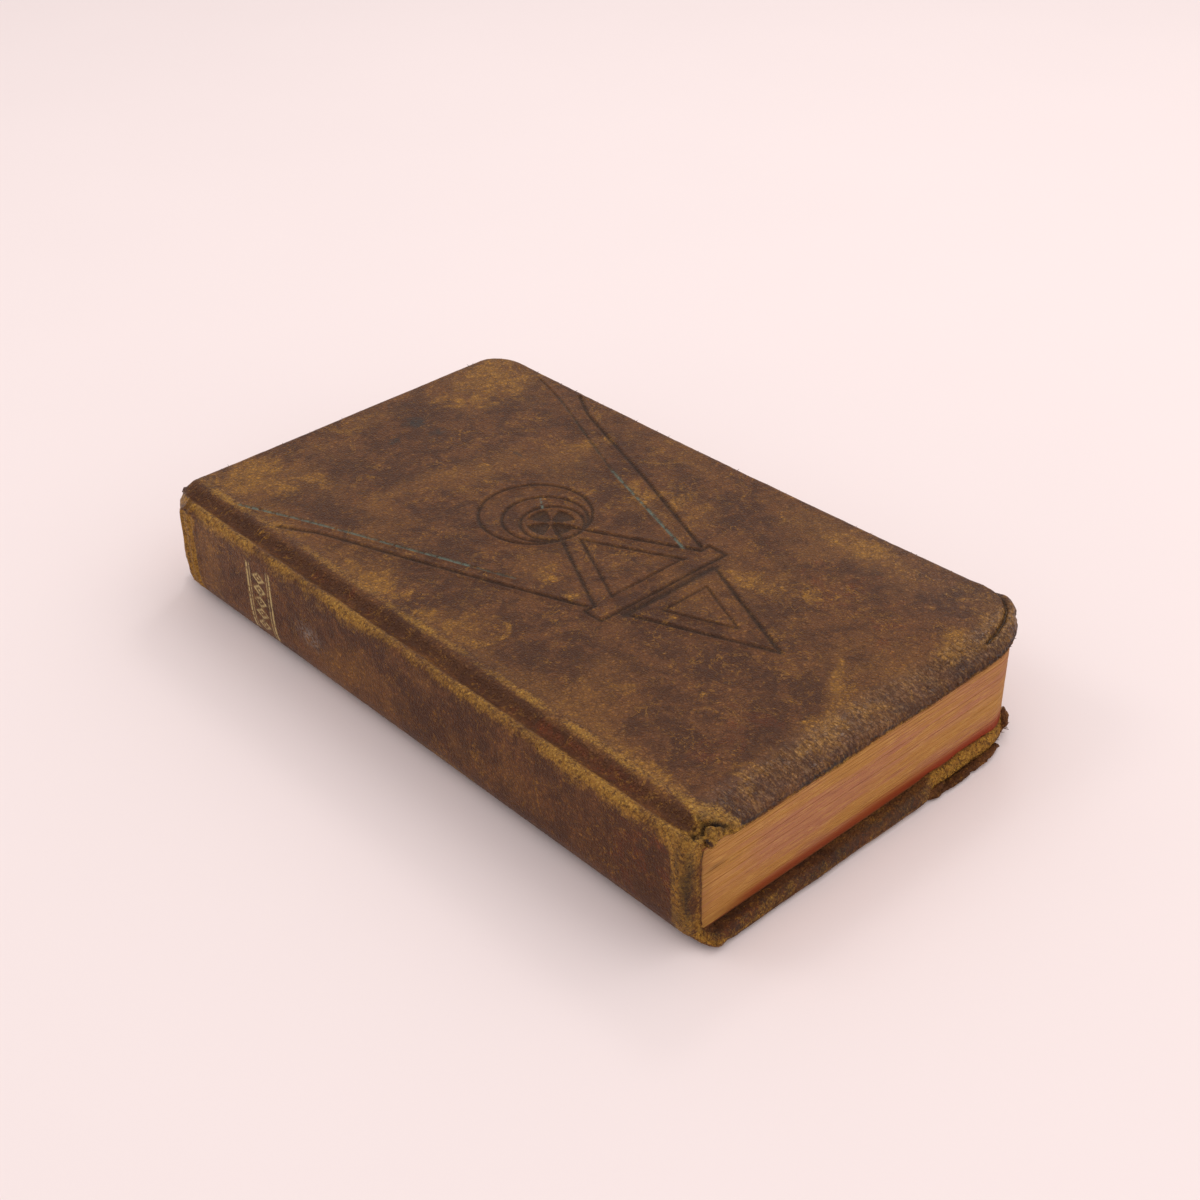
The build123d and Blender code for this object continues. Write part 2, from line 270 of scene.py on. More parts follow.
@dataclass
class Tooling:
    """The blind-tooled figure on the front cover: rings, flared cross, triangles and rays."""

    axis_x: float = 2.1
    rings_touch_y: float = 5.1
    ring_radii: tuple[float, ...] = (11.5, 8.6, 6.4)
    peak_y: float = 10.9
    base_y: float = -16.0
    base_half: float = 14.1
    tablet_y: float = -20.4
    tablet_half: float = 16.5
    bar_y: float = -21.9
    bar_half: float = 11.8
    point_y: float = -49.7
    cross_reach: float = 4.9
    marks: list = field(default_factory=list)

    def __post_init__(self) -> None:
        """Lays out every line of the figure."""
        x, base, tablet = self.axis_x, self.base_y, self.tablet_y
        self.marks = [Ring((x, self.rings_touch_y + r), r) for r in self.ring_radii]
        for s in (-1, 1):
            corner = (x + s * self.base_half, base)
            tab = x + s * self.tablet_half
            fine = dict(half_width=0.36, depth=0.3)
            self.marks += [
                Stroke((x, self.peak_y), corner),
                Stroke((x, 3.1), (x + s * 9.5, base), **fine),
                Stroke((tab, tablet), (tab, base), **fine),
                Stroke(corner, (tab, base), **fine),
                Stroke((x + s * self.bar_half, self.bar_y), (x, self.point_y)),
                Stroke((x + s * 5.8, -25.7), (x, -39.4), half_width=0.3, depth=0.25),
                Stroke((x + s * 40.6, 47.6), (x + s * 36.3, 40.5)),
                Stroke((x + s * 36.3, 40.5), (x + s * 25.0, 9.6)),
                Stroke((x + s * 25.0, 9.6), (x + s * 15.2, base + 1.0), half_width=0.38),
            ]
        self.marks += [
            Stroke((x - 41.4, 60.2), (x - 36.3, 48.4), half_width=0.26, depth=0.22, verdigris=0.9),
            Stroke((x - 36.3, 48.4), (x - 22.0, 10.3), half_width=0.26, depth=0.22, verdigris=0.85),
            Stroke((x - 22.0, 10.3), (x - 18.6, 1.4), half_width=0.26, depth=0.2, verdigris=0.35),
            Stroke((x + 40.0, 60.5), (x + 36.7, 50.2), half_width=0.26, depth=0.2),
            Stroke((x + 36.7, 50.2), (x + 22.9, 18.4), half_width=0.26, depth=0.2, verdigris=0.1),
            Stroke((x + 22.9, 18.4), (x + 12.4, -12.8), half_width=0.26, depth=0.22, verdigris=0.8),
            Stroke((x + 2.6, 17.4), (x + 4.6, 20.2), half_width=0.2, depth=0.1, verdigris=0.9),
            Stroke((x - 9.4, base + 0.3), (x + 9.4, base + 0.3), half_width=0.3, depth=0.26),
            Stroke((x - self.tablet_half, tablet), (x + self.tablet_half, tablet), half_width=0.36),
            Stroke((x - self.bar_half, self.bar_y), (x + self.bar_half, self.bar_y), half_width=0.8, depth=0.42),
            Stroke((x - 5.8, -25.7), (x + 5.8, -25.7), half_width=0.3, depth=0.25),
        ]

    def cross(self, xy: np.ndarray) -> np.ndarray:
        """1 inside the four flared arms of the cross, 0 outside, with a soft rim."""
        centre = np.array([self.axis_x, self.rings_touch_y + self.ring_radii[-1] + 0.4])
        d = np.abs(xy - centre)
        along, across = d.max(axis=1), d.min(axis=1)
        half = 0.35 + 0.52 * np.maximum(along, 0)
        inside = np.minimum(half - across, self.cross_reach - along - 0.10 * across ** 2)
        return smooth(np.minimum(inside, along - 0.7), -0.12, 0.22)

    def nearest(self, xy: np.ndarray) -> np.ndarray:
        """Distance from each point to the nearest tool line, for refining the mesh."""
        best = np.full(len(xy), FAR)
        for mark in self.marks:
            best = np.minimum(best, mark.distance(xy) - mark.half_width)
        centre = np.array([self.axis_x, self.rings_touch_y + self.ring_radii[-1]])
        return np.minimum(best, np.linalg.norm(xy - centre, axis=1) - self.cross_reach)

    def press(self, xy: np.ndarray) -> tuple[np.ndarray, np.ndarray, np.ndarray]:
        """What the tools leave on the leather.

        Args:
            xy: points on the cover.
        Returns:
            The rise of the surface, the darkness of the line and the green remains, per point.
        """
        rise, dark, green = np.zeros(len(xy)), np.zeros(len(xy)), np.zeros(len(xy))
        wobble = 0.06 * noise(np.c_[xy, 0 * xy[:, 0]], 4.0, 5)
        fade = 0.78 + 0.22 * noise(np.c_[xy, 0 * xy[:, 0]], 11.0, 8)
        lip = np.full(len(xy), FAR)
        for mark in self.marks:
            d = mark.distance(xy) + wobble
            rise = np.minimum(rise, -mark.depth * fade * bell(d, mark.half_width * 0.85))
            dark = np.maximum(dark, bell(d, mark.half_width * 1.15) * np.clip(mark.depth / 0.32, 0.4, 1))
            if mark.verdigris:
                green = np.maximum(green, mark.verdigris * bell(d, mark.half_width * 1.1))
            lip = np.minimum(lip, np.abs(mark.distance(xy) - mark.half_width * 2.1))
        rise += 0.08 * bell(lip, 0.4) * (1 - dark)
        cross = self.cross(xy)
        rise -= 0.26 * cross
        return rise, np.maximum(dark, 0.9 * cross), green


# ------------------------------------------------------------------ the skin's cross-section

class Section:
    """A smooth line through points in the XZ plane, measured by its own length."""

    def __init__(self, points: list[tuple[float, float]]) -> None:
        """Fits the line.

        Args:
            points: places that it passes through, in order.
        """
        p = np.array(points, float)
        ends = np.vstack([2 * p[0] - p[1], p, 2 * p[-1] - p[-2]])
        pieces = []
        for k in range(len(p) - 1):
            a, b, c, d = ends[k:k + 4]
            t = np.linspace(0, 1, SPAN_STEPS, endpoint=False)[:, None]
            pieces.append(0.5 * (2 * b + (c - a) * t + (2 * a - 5 * b + 4 * c - d) * t ** 2
                                 + (3 * b - a - 3 * c + d) * t ** 3))
        line = np.vstack(pieces + [p[-1:]])
        step = np.linalg.norm(np.diff(line, axis=0), axis=1)
        self.at = np.r_[0, np.cumsum(step)]
        self.line = line
        self.length = float(self.at[-1])
        slope = np.gradient(line, axis=0)
        slope /= np.linalg.norm(slope, axis=1)[:, None] + TINY
        self.normal = np.c_[-slope[:, 1], slope[:, 0]]

    def point(self, s: np.ndarray) -> np.ndarray:
        """X and Z at each length along the line."""
        return np.c_[np.interp(s, self.at, self.line[:, 0]), np.interp(s, self.at, self.line[:, 1])]

    def facing(self, s: np.ndarray, spread: float = 0.0) -> np.ndarray:
        """The outward direction at each length, averaged over a spread of length."""
        total = np.zeros((len(s), 2))
        for shift in (np.linspace(-spread, spread, 9) if spread else [0.0]):
            q = np.clip(s + shift, 0, self.length)
            total += np.c_[np.interp(q, self.at, self.normal[:, 0]), np.interp(q, self.at, self.normal[:, 1])]
        return total / (np.linalg.norm(total, axis=1)[:, None] + TINY)


WRAP_POINTS = [
    (-36.5, 0.12), (-38.2, 0.12), (-39.4, 0.35), (-40.6, 0.95), (-41.6, 1.3), (-42.6, 1.15), (-43.6, 1.2),
    (-44.6, 1.9), (-45.5, 2.9), (-46.2, 4.2), (-46.65, 5.8), (-46.95, 8.0), (-47.1, 11.0), (-47.17, 15.0),
    (-47.18, 19.0), (-47.1, 21.2), (-46.8, 22.6), (-46.15, 23.42), (-45.35, 23.5), (-44.6, 23.0), (-43.9, 22.5),
    (-43.2, 22.3), (-42.4, 22.5), (-41.6, 23.15), (-40.8, 23.72), (-39.6, 23.9), (-37.0, 23.85)]
LINING_POINTS = [
    (-36.5, 2.9), (-38.2, 2.9), (-39.4, 2.95), (-40.4, 3.0), (-41.2, 3.05), (-41.9, 3.2), (-42.4, 3.6),
    (-42.7, 4.1), (-42.9, 4.8), (-43.0, 5.6), (-43.05, 6.6), (-43.1, 8.0), (-43.1, 11.0), (-43.1, 15.0),
    (-43.1, 18.2), (-43.05, 19.6), (-42.9, 20.3), (-42.6, 20.7), (-42.2, 20.9), (-41.7, 21.0), (-41.2, 21.05),
    (-40.7, 21.1), (-40.2, 21.1), (-39.6, 21.1), (-39.1, 21.1), (-38.0, 21.1), (-37.0, 21.1)]
SEAM_POINT = 8


def knots(section: Section, points: list) -> np.ndarray:
    """Length along the section at each of the points that it was made from."""
    return section.at[np.arange(len(points)) * SPAN_STEPS]


@dataclass
class CoverPlan:
    """Outline of a cover's flat face in plan, inside the rounding of its edges."""

    inner_x: float
    tail: float
    head: float
    head_fore: float
    fore_tail: float
    fore_head: float
    tail_corner: tuple[float, float]
    head_corner: tuple[float, float]
    edge_round: float
    step: tuple[float, float] | None = None
    waist: float = 0.0

    def arcs(self) -> tuple[np.ndarray, np.ndarray, np.ndarray]:
        """The tail edge, fore-edge and head edge, which meet halfway round the corners."""
        inset = self.edge_round
        ax, ay = self.tail_corner[0] - inset, self.tail_corner[1] - inset
        bx, by = self.head_corner[0] - inset, self.head_corner[1] - inset
        tail, head = self.tail + inset, self.head - inset
        fore_tail, fore_head, head_fore = self.fore_tail - inset, self.fore_head - inset, self.head_fore - inset
        t = np.linspace(0, math.pi / 2, 41)[:, None]
        turn = np.array([fore_tail - ax, tail + ay]) + np.hstack([ax * np.sin(t), -ay * np.cos(t)])
        back = np.array([fore_head - bx, head_fore - by]) + np.hstack([bx * np.cos(t), by * np.sin(t)])
        start = [[self.inner_x, tail]]
        if self.step:
            x, rise = self.step
            start += [[x - 1.5, tail], [x + 1.5, tail + 0.8 * rise], [x + 4.0, tail + rise]]
            turn = turn + [0, rise] * smooth(turn[:, 1:], tail + 2 * ay, tail)
        lower = np.vstack([start, turn[:21]])
        share = np.linspace(0, 1, 13)[1:-1, None]
        middle = turn[-1] + (back[0] - turn[-1]) * share - np.array([self.waist, 0]) * np.sin(math.pi * share)
        side = np.vstack([turn[20:], middle, back[:21]])
        upper = np.vstack([[self.inner_x, head], back[:19:-1]])
        return lower, side, upper

    def place(self, a: np.ndarray, b: np.ndarray) -> np.ndarray:
        """Points of the face: a runs from the joint to the fore-edge, b from tail to head."""
        arcs = self.arcs()
        lower, side, upper = (along(line, t) for line, t in zip(arcs, (a, b, a)))
        tail, head = self.tail + self.edge_round, self.head - self.edge_round
        left = np.c_[np.full(len(b), self.inner_x), tail + (head - tail) * b]
        c0, c1 = np.array([self.inner_x, tail]), arcs[0][-1]
        c2, c3 = np.array([self.inner_x, head]), arcs[2][-1]
        a1, b1 = a[:, None], b[:, None]
        blend = (1 - a1) * (1 - b1) * c0 + a1 * (1 - b1) * c1 + (1 - a1) * b1 * c2 + a1 * b1 * c3
        return (1 - b1) * lower + b1 * upper + (1 - a1) * left + a1 * side - blend


def along(line: np.ndarray, t: np.ndarray) -> np.ndarray:
    """Points at the shares t of a polyline's length."""
    at = np.r_[0, np.cumsum(np.linalg.norm(np.diff(line, axis=0), axis=1))]
    at /= at[-1]
    return np.c_[np.interp(t, at, line[:, 0]), np.interp(t, at, line[:, 1])]


@dataclass(frozen=True)
class Blob:
    """A soft-edged patch on the leather."""

    x: float
    y: float
    rx: float
    ry: float
    strength: float
    turn: float = 0.0

    def at(self, xy: np.ndarray) -> np.ndarray:
        """Strength of the patch at each point."""
        c, s = math.cos(self.turn), math.sin(self.turn)
        d = xy - np.array([self.x, self.y])
        u, v = (c * d[:, 0] + s * d[:, 1]) / self.rx, (-s * d[:, 0] + c * d[:, 1]) / self.ry
        return self.strength * np.exp(-(u * u + v * v))


def stained(blobs: list[Blob], xy: np.ndarray) -> np.ndarray:
    """Sum of several patches."""
    return sum((b.at(xy) for b in blobs), np.zeros(len(xy)))


# The torn crack at the tail end of the front joint, and the crease inside the two loosened lobes
# of the front cover's tail corner.
CRACK_PATH = [(-44.3, -73.7), (-43.6, -72.9), (-42.5, -73.6), (-41.4, -72.8), (-40.3, -73.7), (-39.3, -74.6),
              (-38.2, -75.2)]
CORNER_CREASE_PATH = [(46.9, -61.5), (46.3, -64.4), (45.2, -66.6), (43.0, -69.0), (40.0, -70.7), (36.2, -71.9),
                      (32.5, -72.6)]


def path_distance(path: list[tuple[float, float]], xy: np.ndarray) -> np.ndarray:
    """Distance from each point to a line through several places."""
    best = np.full(len(xy), FAR)
    for a, b in zip(path, path[1:]):
        best = np.minimum(best, Stroke(a, b).distance(xy))
    return best


JOINT_REACH = (9.5, 4.5)  # distances from the joint between which the cover's edge becomes the spine's
SPINE_SHARE = 0.72  # share of the wrap, from its back end, that belongs to the spine
CAP_DEPTH = 4.05  # how far the leather reaches in where it is rolled over at a spine end
EDGE_RINGS = 11  # rings of vertices round an edge, before those of the turn-in


def evened(values: np.ndarray) -> np.ndarray:
    """Running mean of five values, with the end values held."""
    held = np.r_[values[:1].repeat(2), values, values[-1:].repeat(2)]
    return np.convolve(held, np.ones(5) / 5, "valid")


@dataclass(frozen=True)
class MeshSizes:
    """How long a mesh edge may be on each part of the leather."""

    plain: float = 1.8
    front_tail: float = 0.6
    back_tail: float = 0.8
    crimped: float = 0.32
    joint: float = 0.75
    beside_tooling: float = 0.55
    tooling: float = 0.25
    torn: float = 0.3
    spine_ends: float = 0.5
    title: float = 0.3


@dataclass
class Skin:
    """The leather of one cover with its share of the spine, as one sheet with turned-in edges.

    The sheet's own coordinates are the length along the wrap and the place from tail to head.
    """

    name: str
    front: bool
    plan: CoverPlan
    sizes: BookSizes
    tooling: Tooling
    wrap_columns: int = 26
    cover_columns: int = 54
    rows: int = 96
    thickness: float = 2.8
    spine_tail: float = -75.2
    spine_head: float = 75.1
    spine_round: float = 2.2
    levels: int = 3
    lip: float = 0.5
    curl: float = 1.35
    mesh: MeshSizes = MeshSizes()

    def __post_init__(self) -> None:
        """Prepares the wrap line and its lining."""
        self.wrap = Section(WRAP_POINTS)
        self.knots = knots(self.wrap, WRAP_POINTS)
        self.lining = np.array(LINING_POINTS)
        self.seam = float(self.knots[SEAM_POINT])
        self.joint = self.wrap.length if self.front else 0.0
        self.sign = 1 if self.front else -1

    def flat(self, uv: np.ndarray) -> np.ndarray:
        """Length along the wrap and Y at each pair of grid coordinates."""
        u, b = uv[:, 0], uv[:, 1] / self.rows
        n = self.wrap_columns
        s = self.seam + (self.joint - self.seam) * np.clip(u / n, 0, 1)
        share = smooth(np.abs(s - self.joint), *JOINT_REACH)
        inset = self.spine_round
        tail = (self.spine_tail + inset) * (1 - share) + (self.plan.tail + self.plan.edge_round) * share
        head = (self.spine_head - inset) * (1 - share) + (self.plan.head - self.plan.edge_round) * share
        near = np.c_[s, tail + (head - tail) * b]
        far = self.plan.place(np.clip((u - n) / self.cover_columns, 0, 1), b)
        far[:, 0] = self.joint + self.sign * (far[:, 0] - self.plan.inner_x)
        return np.where((u <= n)[:, None], near, far)

    def plane_x(self, s: np.ndarray) -> np.ndarray:
        """X at each length along the wrap, also past its ends."""
        inside = self.wrap.point(np.clip(s, 0, self.wrap.length))[:, 0]
        past = np.where(s > self.wrap.length, s - self.wrap.length, np.where(s < 0, -s, 0))
        return inside + past

    def surface(self, flat: np.ndarray) -> np.ndarray:
        """Places of the undisturbed outer face."""
        s = np.clip(flat[:, 0], 0, self.wrap.length)
        return np.c_[self.plane_x(flat[:, 0]), flat[:, 1], self.wrap.point(s)[:, 1]]

    def lined(self, flat: np.ndarray) -> np.ndarray:
        """Places of the inner face below the outer face."""
        s = flat[:, 0]
        x = np.interp(s, self.knots, self.lining[:, 0])
        x += np.where(s > self.wrap.length, s - self.wrap.length, np.where(s < 0, -s, 0))
        return np.c_[x, flat[:, 1], np.interp(s, self.knots, self.lining[:, 1])]

    def wanted(self, flat: np.ndarray) -> np.ndarray:
        """How long an edge of the mesh may be at each place."""
        x = self.plane_x(flat[:, 0])
        y = flat[:, 1]
        mesh = self.mesh
        size = np.full(len(flat), mesh.plain)
        tail = y - (self.plan.tail + self.plan.edge_round)
        size = np.where(tail < 9, mesh.front_tail if self.front else mesh.back_tail, size)
        size = np.where((tail < 5.5) & self.front, mesh.crimped, size)
        size = np.where((x < -37.5) & (x > -46.9), np.minimum(size, mesh.joint), size)
        if self.front:
            on_front = flat[:, 0] > self.wrap.length * SPINE_SHARE
            d = np.where(on_front, self.tooling.nearest(np.c_[x, y]), FAR)
            size = np.where(d < 2.2, np.minimum(size, mesh.beside_tooling), size)
            size = np.where(d < 0.7, mesh.tooling, size)
            size = np.where(on_front & (path_distance(CRACK_PATH, np.c_[x, y]) < 1.6), mesh.torn, size)
            corner = on_front & (x > 30) & (y < -60)
            size = np.where(corner & (path_distance(CORNER_CREASE_PATH, np.c_[x, y]) < 1.2), mesh.torn, size)
            size = np.where((x < -43.5) & ((y > 62) | (y < -68)), np.minimum(size, mesh.spine_ends), size)
            title = (flat[:, 0] < self.wrap.length * SPINE_SHARE) & (np.abs(y - 43.2) < 6.5)
            size = np.where(title, mesh.title, size)
        return size

    def sheet(self) -> tuple[np.ndarray, list, list]:
        """Grid of the outer face, made finer where it has detail.

        Returns:
            Grid coordinates per vertex, the faces, and the vertex numbers along the free edge.
        """
        columns, rows = self.wrap_columns + self.cover_columns, self.rows
        bm = bmesh.new()
        grid = [[bm.verts.new((i, j, 0)) for j in range(rows + 1)] for i in range(columns + 1)]
        for i in range(columns):
            for j in range(rows):
                ring = (grid[i][j], grid[i + 1][j], grid[i + 1][j + 1], grid[i][j + 1])
                bm.faces.new(ring if self.front else ring[::-1])
        for _ in range(self.levels):
            edges = list(bm.edges)
            ends = np.array([[v.co.x, v.co.y] for e in edges for v in e.verts])
            flat = self.flat(ends).reshape(-1, 2, 2)
            length = np.linalg.norm(flat[:, 0] - flat[:, 1], axis=1)
            middle = flat.mean(axis=1)
            want = np.minimum(np.minimum(self.wanted(flat[:, 0]), self.wanted(flat[:, 1])), self.wanted(middle))
            chosen = [e for e, long in zip(edges, length > 1.25 * want) if long]
            if not chosen:
                break
            bmesh.ops.subdivide_edges(bm, edges=chosen, cuts=1, use_grid_fill=True)
        bmesh.ops.triangulate(bm, faces=[f for f in bm.faces if len(f.verts) > 4])
        bm.verts.index_update()
        uv = np.array([[v.co.x, v.co.y] for v in bm.verts])
        faces = [[v.index for v in f.verts] for f in bm.faces]
        bm.free()
        tail = sorted(np.nonzero(uv[:, 1] < TINY)[0], key=lambda k: uv[k, 0])
        fore = sorted(np.nonzero((uv[:, 0] > columns - TINY) & (uv[:, 1] > TINY) & (uv[:, 1] < rows - TINY))[0],
                      key=lambda k: uv[k, 1])
        head = sorted(np.nonzero(uv[:, 1] > rows - TINY)[0], key=lambda k: -uv[k, 0])
        return uv, faces, [int(k) for k in tail + fore + head]

    def profiles(self, edge_round: np.ndarray, depth: float) -> tuple[np.ndarray, np.ndarray]:
        """Outward reach and depth of each ring of a turned-in cover edge, per edge vertex."""
        reach, down = [], []
        drop = np.minimum(edge_round, 1.5)
        for t in np.linspace(0, math.pi / 2, 7)[1:]:
            reach.append(edge_round * math.sin(t))
            down.append(drop * (1 - math.cos(t)))
        lip = self.lip
        for share in (0.45, 0.9):
            reach.append(edge_round + 0.06 * math.sin(math.pi * share))
            down.append(drop + (depth - lip - drop) * share)
        for t in np.linspace(0, math.pi / 2, 4)[1:]:
            reach.append(edge_round - lip * (1 - math.cos(t)))
            down.append(np.full_like(drop, depth - lip * (1 - math.sin(t))))
        for inward in (1.6, 4.4, 8.6):
            reach.append(edge_round - lip - inward)
            down.append(np.full_like(drop, depth))
        reach.append(edge_round - lip - 8.8)
        down.append(np.full_like(drop, depth - 0.55))
        return np.array(reach), np.array(down)

    def cap_profiles(self, count: int) -> tuple[np.ndarray, np.ndarray]:
        """Outward reach and depth of each ring of a spine end, which is rolled over a cord."""
        r = self.spine_round
        t = np.linspace(0, math.pi / 2, 7)[1:]
        reach = list(r * np.sin(t)) + [r + 0.02, r]
        down = list(2.0 * (1 - np.cos(t))) + [2.9, 3.6]
        for u in np.linspace(0, math.pi / 2, 4)[1:]:
            reach.append(r - 0.4 * (1 - math.cos(u)))
            down.append(CAP_DEPTH - 0.4 * (1 - math.sin(u)))
        reach += [r - 1.2, r - 2.0, r - 3.0, r - 3.2]
        down += [CAP_DEPTH] * 3 + [3.85]
        return (np.repeat(np.array(reach)[:, None], count, axis=1),
                np.repeat(np.array(down)[:, None], count, axis=1))

    def build(self) -> tuple[Object, dict]:
        """Makes the sheet with its edges and presses all its detail into it.

        Returns:
            The piece and the facts per vertex that its colouring needs.
        """
        uv, faces, rim = self.sheet()
        flat = self.flat(uv)
        points = self.surface(flat)
        rim_flat = flat[rim]
        ahead = np.gradient(rim_flat, axis=0)
        ahead = np.c_[evened(ahead[:, 0]), evened(ahead[:, 1])]
        ahead /= np.linalg.norm(ahead, axis=1)[:, None] + TINY
        out = np.c_[ahead[:, 1], -ahead[:, 0]] * self.sign
        at = rim_flat[:, 0]
        past = at - self.joint
        cover = smooth(np.abs(past) * np.where(past * self.sign > 0, 0, 1), *JOINT_REACH)
        edge_round = np.full(len(rim), self.plan.edge_round)
        reach, down = self.profiles(edge_round, self.thickness)
        cap_reach, cap_down = self.cap_profiles(len(rim))
        reach = cover * reach + (1 - cover) * cap_reach
        down = cover * down + (1 - cover) * cap_down
        full = cover * self.thickness + (1 - cover) * CAP_DEPTH
        base, inner = points[rim], self.lined(rim_flat)
        wander = 0.16 * noise(base, 9.0, 31) + 0.07 * noise(base, 2.2, 32)
        facing = self.wrap.facing(np.clip(at, 0, self.wrap.length))
        tangent = np.c_[facing[:, 1], -facing[:, 0]]
        out3 = np.c_[out[:, 0] * tangent[:, 0], out[:, 1], out[:, 0] * tangent[:, 1]]
        out3 /= np.linalg.norm(out3, axis=1)[:, None] + TINY
        rings, ring_flat, ring_number = [points], [flat], [np.zeros(len(points))]
        count = len(points)
        previous = np.array(rim)
        all_faces = list(faces)
        for k in range(len(reach)):
            grow = wander * min(1.0, k / 5)
            ring = base + out3 * (reach[k] + grow)[:, None] + (inner - base) * (down[k] / full)[:, None]
            rings.append(ring)
            ring_flat.append(rim_flat + out * (reach[k] + grow)[:, None])
            ring_number.append(np.full(len(ring), k + 1.0))
            now = np.arange(count, count + len(ring))
            for i in range(len(rim) - 1):
                quad = (previous[i], now[i], now[i + 1], previous[i + 1])
                all_faces.append(quad if self.front else quad[::-1])
            previous, count = now, count + len(ring)
        points = np.vstack(rings)
        flat = np.vstack(ring_flat)
        ring = np.concatenate(ring_number)
        piece = new_piece(self.name, points, all_faces)
        facts = self.facts(flat, ring)
        self.deform(piece, points, facts)
        return piece, facts

    def facts(self, flat: np.ndarray, ring: np.ndarray) -> dict:
        """Distances and shares that both the shape and the colours use."""
        x, y = self.plane_x(flat[:, 0]), flat[:, 1]
        return dict(x=x, y=y, xy=np.c_[x, y], ring=ring, tail=y - (self.plan.tail + self.plan.edge_round),
                    seam=smooth(np.abs(flat[:, 0] - self.seam), 0.0, 1.2))

    def deform(self, piece: Object, points: np.ndarray, facts: dict) -> None:
        """Moves the vertices of the sheet to give it its waves, creases, tool lines and torn places."""
        x, y, xy, ring = facts["x"], facts["y"], facts["xy"], facts["ring"]
        inward = np.where(ring > EDGE_RINGS, 0.0, 1.0)
        lift = 0.10 * noise(points, 30.0, 1) + 0.06 * noise(points, 9.0, 2) + 0.02 * rough(points, 2.2, 3)
        ridge = facts["ridge"] = self.ridges(points)
        lift += 0.10 * ridge * rough(points, 0.8, 4)
        worn_edge = smooth(ring, 0.5, 3) * inward
        lift += 0.09 * worn_edge * rough(points, 0.8, 6) - 0.04
        facts["tool"], facts["green"] = np.zeros(len(x)), np.zeros(len(x))
        facts["crack"] = np.zeros(len(x))
        if self.front:
            top = (points[:, 2] > 22.2) & (x > -41.2) & (ring == 0)
            rise, dark, green = self.tooling.press(xy)
            lift += np.where(top, rise, 0)
            facts["tool"] = np.where(top, dark, 0)
            facts["green"] = np.where(top, green, 0)
            band = smooth(facts["tail"], 7.0, 3.0) * smooth(x, -40, -34) * inward * (ring < 9)
            band *= 1 - 0.5 * smooth(ring, 4, 8)
            phase = x / 1.15 + 0.9 * noise(points * [1, 0.5, 0.2], 3.5, 11)
            phase += 0.5 * noise(points * [1, 0.3, 0.1], 1.6, 12)
            crimp = np.sin(2 * math.pi * phase) * (0.55 + 0.45 * noise(points, 7.0, 13))
            crimp += 0.6 * noise(points, 0.9, 19)
            facts["crimp"] = band * crimp
            lift += 0.25 * band * crimp
            folds = np.where((y > 64) & (points[:, 0] < -45), smooth(y, 64, 69), 0) * inward
            lift += 0.22 * folds * np.sin(2 * math.pi * (y / 3.1 + 0.35 * noise(points, 5.0, 15)))
            d = path_distance(CRACK_PATH, xy)
            near_tear = (points[:, 2] > 19) * (ring < 9) * (y < 0)
            open_at = bell(d + 0.22 * rough(points, 0.9, 16), 0.40) * near_tear
            pits = smooth(rough(points, 0.8, 17), 0.10, 0.42) * bell(np.maximum(d - 0.3, 0), 1.5) * near_tear
            facts["crack"] = np.clip(open_at + 0.8 * pits, 0, 1)
            facts["crumbs"] = bell(np.maximum(d - 0.4, 0), 2.2) * near_tear
            lift -= 0.95 * open_at + 0.45 * pits
            lift += 0.42 * facts["crumbs"] * rough(points, 0.8, 18)
        ends = smooth(np.abs(y), 70.5, 75.0) * (ring < 7)
        lift += 0.85 * ends * bell(x + (43.2 if self.front else 42.0), 1.25) * ((points[:, 2] > 21) == self.front)
        if self.front:
            crease = path_distance(CORNER_CREASE_PATH, xy)
            rim = (points[:, 2] > 21.0) & (ring < 8) & (x > 28) & (y < -58)
            facts["rim"] = np.where(rim, bell(crease, 0.34), 0)
            lift -= 0.55 * facts["rim"] + np.where(rim, -0.30 * bell(crease - 1.2, 0.9), 0)
        turned = normals(piece)
        moved = points + turned * (lift * facts["seam"])[:, None]
        back_of_spine = smooth(-points[:, 0], 42.0, 46.6) * (np.abs(y) > 50)
        pull = 1.9 * smooth(-points[:, 0], 43.6, 47.2) + 2.3 * back_of_spine * smooth(points[:, 2], 20.8, 23.2)
        moved[:, 1] -= pull * smooth(points[:, 1], 62, 76)
        moved[:, 0] += 0.9 * back_of_spine * smooth(points[:, 1], 70, 76)
        if not self.front:
            bead = np.interp(ring, [7, 9, 11, 12, 13], [0, 0.5, 0.75, 0.35, 0.0]) * smooth(x, -42, -37)
            moved[:, 2] += bead * (0.8 + 0.5 * noise(points, 5.0, 23))
        if self.front:
            gap = (points[:, :2] - np.array([44.6, -71.2])) * (ring <= EDGE_RINGS)[:, None]
            moved[:, :2] += np.array([-0.45, 0.75]) * (bell(np.linalg.norm(gap, axis=1), 1.1) * (ring > 0))[:, None]
            near = np.clip((8.0 - np.maximum(facts["tail"], 0)) / 8.0, 0, 1)
            share = np.interp(ring, [0, 5, 8, 11, 12], [1.0, 0.95, 0.75, 0.6, 0.0])
            curl = self.curl * (0.85 + 0.25 * noise(points * [1, 0, 0], 16.0, 14)) * smooth(x, -41.5, -36) * (y < 0)
            moved[:, 2] -= near ** 2 * share * curl
            cap = (ring >= 1) & (ring <= EDGE_RINGS) & (x < -42.5)
            moved[:, 1] += np.where(cap, 0.10 * rough(points, 1.1, 21) * np.sign(-y), 0)
        low, high = CAD_BOX_MM
        place_vertices(piece, np.clip(moved, low + 0.02, high - 0.02))

